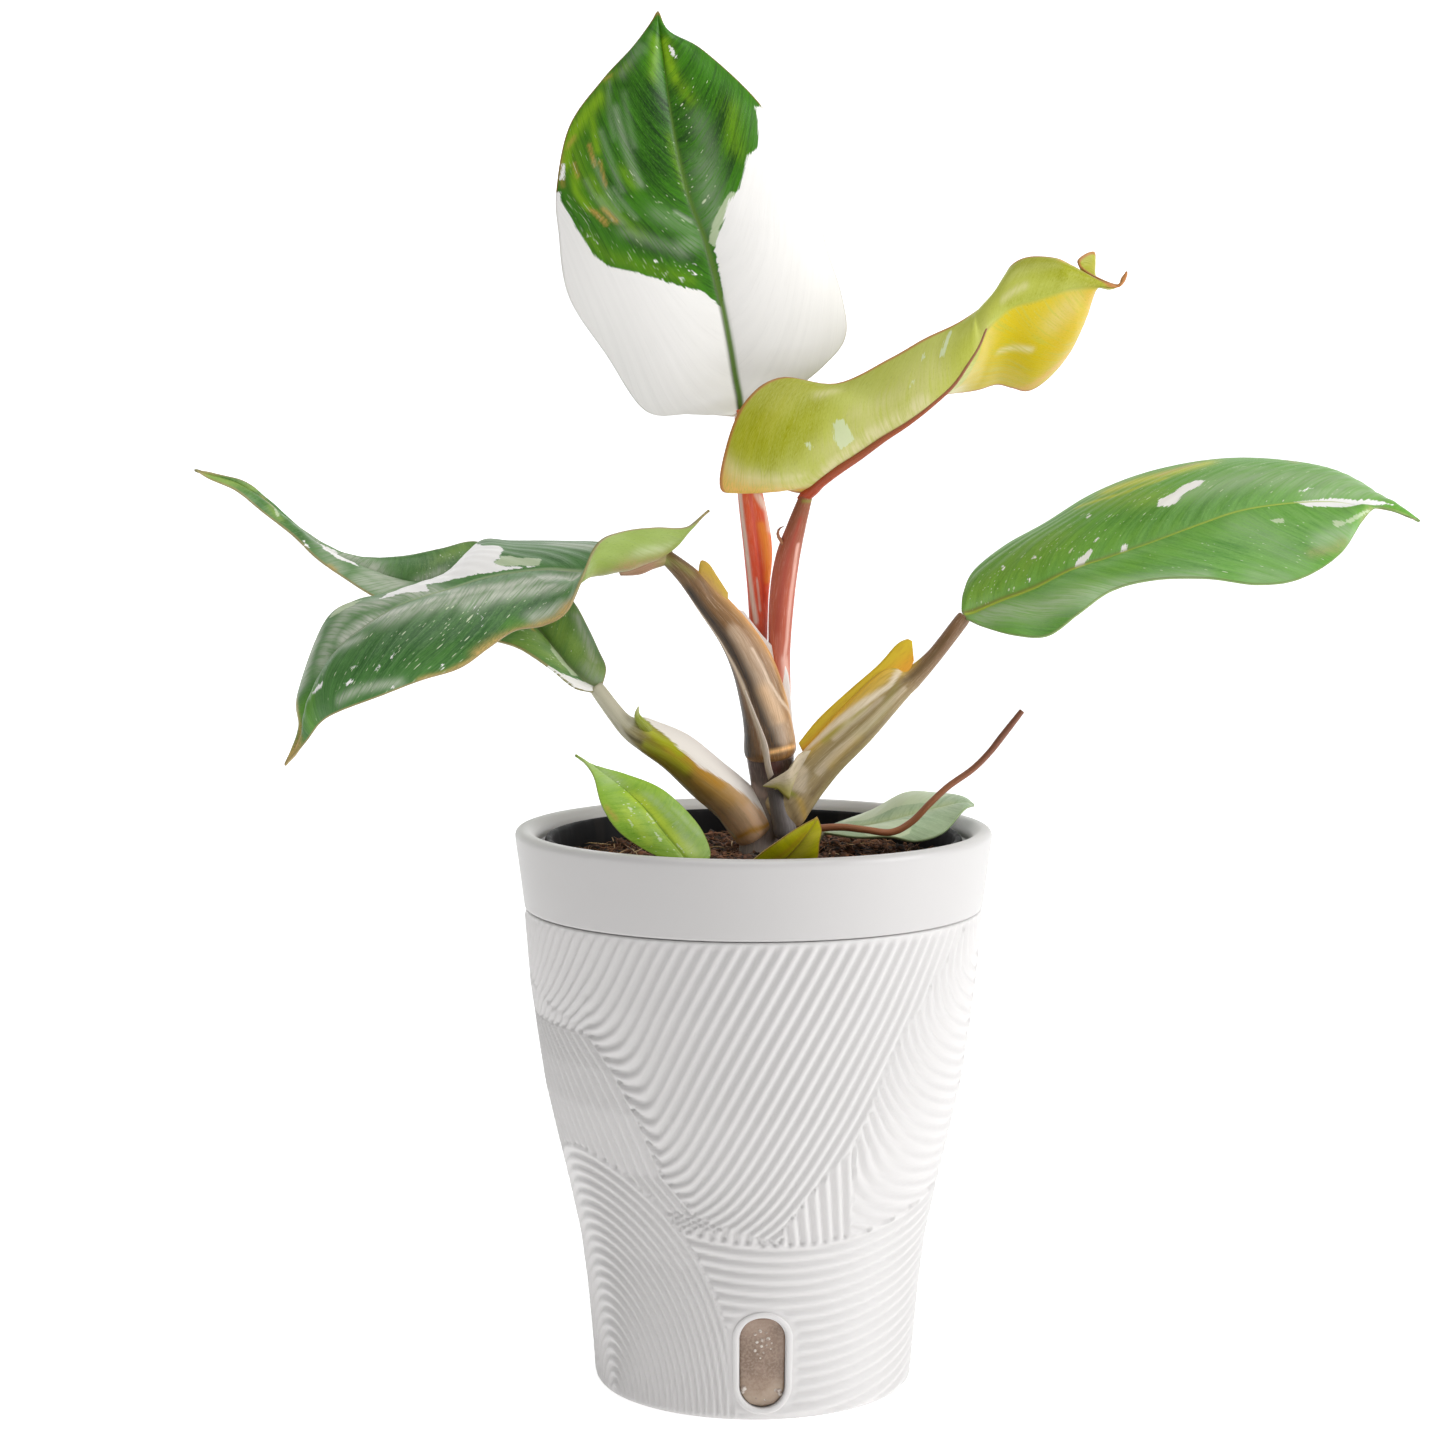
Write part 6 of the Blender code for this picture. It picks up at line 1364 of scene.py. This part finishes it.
def leaf_finish(name, mid, deep, bright, painted_sheen, rust, rib, margin, roughness, veined, streaked, border):
    """Living leaf: green in streaks along the veins, flecked and patched with cream and white where the
    blade's marks say so, a tinted midrib and a thin brownish margin."""
    leaf = Finish(name)
    _, (across, _, edge) = leaf.carried("place")
    veins, (flow, aside, _) = leaf.carried("veins")
    _, (white, pale, fleck) = leaf.carried("patch")
    _, (bright_share, painted_sheen_share, rust_share) = leaf.carried("tint")
    _, (shade, rib_share, _) = leaf.carried("depth")
    broad = leaf.streaks((0.22, 0.05, 1), veins)
    streak = leaf.streaks((1.1, 0.12, 1), veins, 4.0, 0.65)
    fine = leaf.streaks((4.0, 0.6, 1), veins)
    mottle = leaf.streaks((2.6, 1.6, 1), veins, 5.0, 0.7)

    # Green, darker in streaks and shaded strokes, brighter in bright strokes.
    dark = leaf.ramp(streak, 0.38, 0.66, -0.15 * streaked, 0.45 * streaked)
    dark = leaf.plus(dark, leaf.ramp(fine, 0.35, 0.7, -0.1 * streaked, 0.25 * streaked))
    dark = leaf.plus(dark, leaf.ramp(broad, 0.35, 0.7, -0.15 * streaked, 0.25 * streaked))
    dark = leaf.plus(dark, leaf.times(shade, leaf.ramp(mottle, 0.3, 0.6, 1.0, 0.55)))
    dark = leaf.times(dark, leaf.ramp(bright_share, 0.3, 1.0, 1.0, 0.35))
    dark = leaf.node("ShaderNodeClamp", {}, {"Value": dark})
    grown = leaf.times(bright_share, leaf.ramp(streak, 0.3, 0.55, 0.45, 1.0))
    colour = leaf.mix(dark, leaf.mix(grown, tone(*mid), tone(*bright)), tone(*deep))

    # Pale side veins, then mottling, the greyish painted sheen and rust.
    vein = leaf.maths("PINGPONG", leaf.plus(flow, leaf.ramp(broad, 0, 1, -1.2, 1.2)), VEIN_PITCH / 2)
    vein_line = leaf.times(leaf.ramp(vein, 0.05, 0.45, veined, 0.0), leaf.ramp(aside, 1.0, 5.0))
    vein_line = leaf.times(vein_line, leaf.ramp(bright_share, 0.5, 1.0, 1.0, 0.2))
    # Sheen strokes paint the grey sheen where light glances off the glossy blade.
    haze = leaf.times(painted_sheen_share, leaf.ramp(streak, 0.3, 0.62, 0.3, 1.0))
    rusted = leaf.times(rust_share, leaf.ramp(mottle, 0.38, 0.55, 0.35, 1.0))
    for amount, shown in (
        (vein_line, [0.65 * a + 0.35 * b for a, b in zip(mid, painted_sheen)]),
        (leaf.ramp(mottle, 0.46, 0.30, 0.0, 0.32), [0.6 * c for c in deep]),
        (leaf.ramp(mottle, 0.54, 0.72, 0.0, 0.30), [0.45 * a + 0.55 * b for a, b in zip(mid, painted_sheen)]),
        (haze, painted_sheen), (rusted, rust),
    ):
        colour = leaf.mix(amount, colour, tone(*shown))

    # Flecks in three sizes, where the fleck strokes allow them, and the pale and white patches.
    for stretch, size, density in FLECKS:
        at = {"Vector": leaf.place(stretch, veins), "Scale": 1.0}
        near = leaf.node("ShaderNodeTexVoronoi", {}, at, 0)
        chance = leaf.parts(leaf.node("ShaderNodeTexVoronoi", {}, at, 1))[0]
        kept = leaf.maths("LESS_THAN", chance, leaf.times(fleck, density))
        spot = leaf.times(kept, leaf.ramp(near, size * 0.7, size, 0.85, 0.0))
        colour = leaf.mix(spot, colour, tone(*LEAF_PALE))
    ragged = leaf.plus(leaf.ramp(streak, 0.25, 0.75, -0.4, 0.4), leaf.ramp(fine, 0.25, 0.75, -0.22, 0.22))
    for depth, shown, cover in ((pale, LEAF_PALE, 0.7), (white, LEAF_WHITE, 1.0)):
        cream = leaf.mix(leaf.ramp(broad, 0.3, 0.7), tone(*(0.985 * c for c in shown)), tone(*shown))
        covered = leaf.ramp(leaf.plus(depth, ragged), -0.12, 0.12, 0.0, cover)
        colour = leaf.mix(covered, colour, cream)

    # The midrib, browner on its left flank, and the thin margin.
    flank = tone(0.72 * rib[0], 0.5 * rib[1], 0.8 * rib[2])
    rib_tone = leaf.mix(leaf.ramp(across, -0.9, -0.2, 0.75, 0.0), tone(*rib), flank)
    colour = leaf.mix(rib_share, colour, rib_tone)
    rimmed = leaf.ramp(edge, 0.4 * border, border, 0.75, 0.0)
    rimmed = leaf.times(rimmed, leaf.ramp(covered, 0.0, 1.0, 1.0, 0.08))
    colour = leaf.mix(rimmed, colour, tone(*margin))
    sunk = leaf.times(vein_line, leaf.ramp(covered, 0.0, 1.0, -0.8, -0.1))
    relief = leaf.plus(leaf.times(leaf.plus(fine, mottle), 0.3), sunk)
    return leaf.finish(
        Base_Color=colour, Roughness=leaf.ramp(streak, 0.3, 0.7, roughness - 0.05, roughness + 0.08),
        Specular_IOR_Level=0.30, Normal=leaf.bump(relief, 0.35, 0.0003),
    )


face_finishes = {face: leaf_finish(face + " leaf", *tones) for face, tones in FACE_TONES.items()}
for number, (node, (ribs, left_bow, right_bow, slot_name)) in enumerate(BLADES.items()):
    points, across, along, edge = blade_points(ribs, left_bow, right_bow)
    upper, under, rib_depth, rib_width, rib_end, quilt = LEAF_FACES[node]
    found = MARKS[node]
    aside = np.abs(across)
    flow = along - VEIN_RISE * aside - VEIN_CURVE.get(node, USUAL_CURVE) * aside ** 2
    length = along[-1, 0]
    width = rib_width * np.clip(1 - along / rib_end, 0.2, 1)
    rib = np.exp(-((across / width) ** 2))
    tinted = np.exp(-((across / width) ** 4)) * np.clip((rib_end - along) / 8 + 1, 0, 1)
    faded = np.clip(edge / 2, 0, 1)
    relief = quilt * np.cos(math.tau * flow / VEIN_PITCH) * faded * np.clip(aside / 4, 0, 1)
    relief -= rib_depth * rib * np.clip(1.2 - along / length, 0.1, 1)
    up = np.cross(np.gradient(points, axis=1), np.gradient(points, axis=0))
    up /= np.maximum(np.linalg.norm(up, axis=2), 1e-9)[..., None]
    # The backlit area is painted light, laid in with the bright tint.
    lit = np.clip(patches(found, "backlit_area", across, along) / 1.2 + 0.5, 0, 1)
    marks = {
        "place": (across, along, edge),
        "veins": (flow, aside, np.where(across < 0, 0.0, 40.0) + 13 * number),
        "patch": (*(patches(found, kind, across, along) for kind in ("white", "pale")),
                  strokes(found, "fleck", across, along)),
        "tint": (np.maximum(strokes(found, "bright", across, along), lit),
                 *(strokes(found, kind, across, along) for kind in ("painted_sheen", "rust"))),
        "depth": (strokes(found, "shade", across, along), tinted, 0 * across),
    }
    skin = sheet(node + "_blade", points + up * relief[..., None], marks,
                 face_finishes[upper], face_finishes[under])
    thicken(skin, BLADE_THICKNESS).material_offset = 1
    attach(skin, "root")
    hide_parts(node)
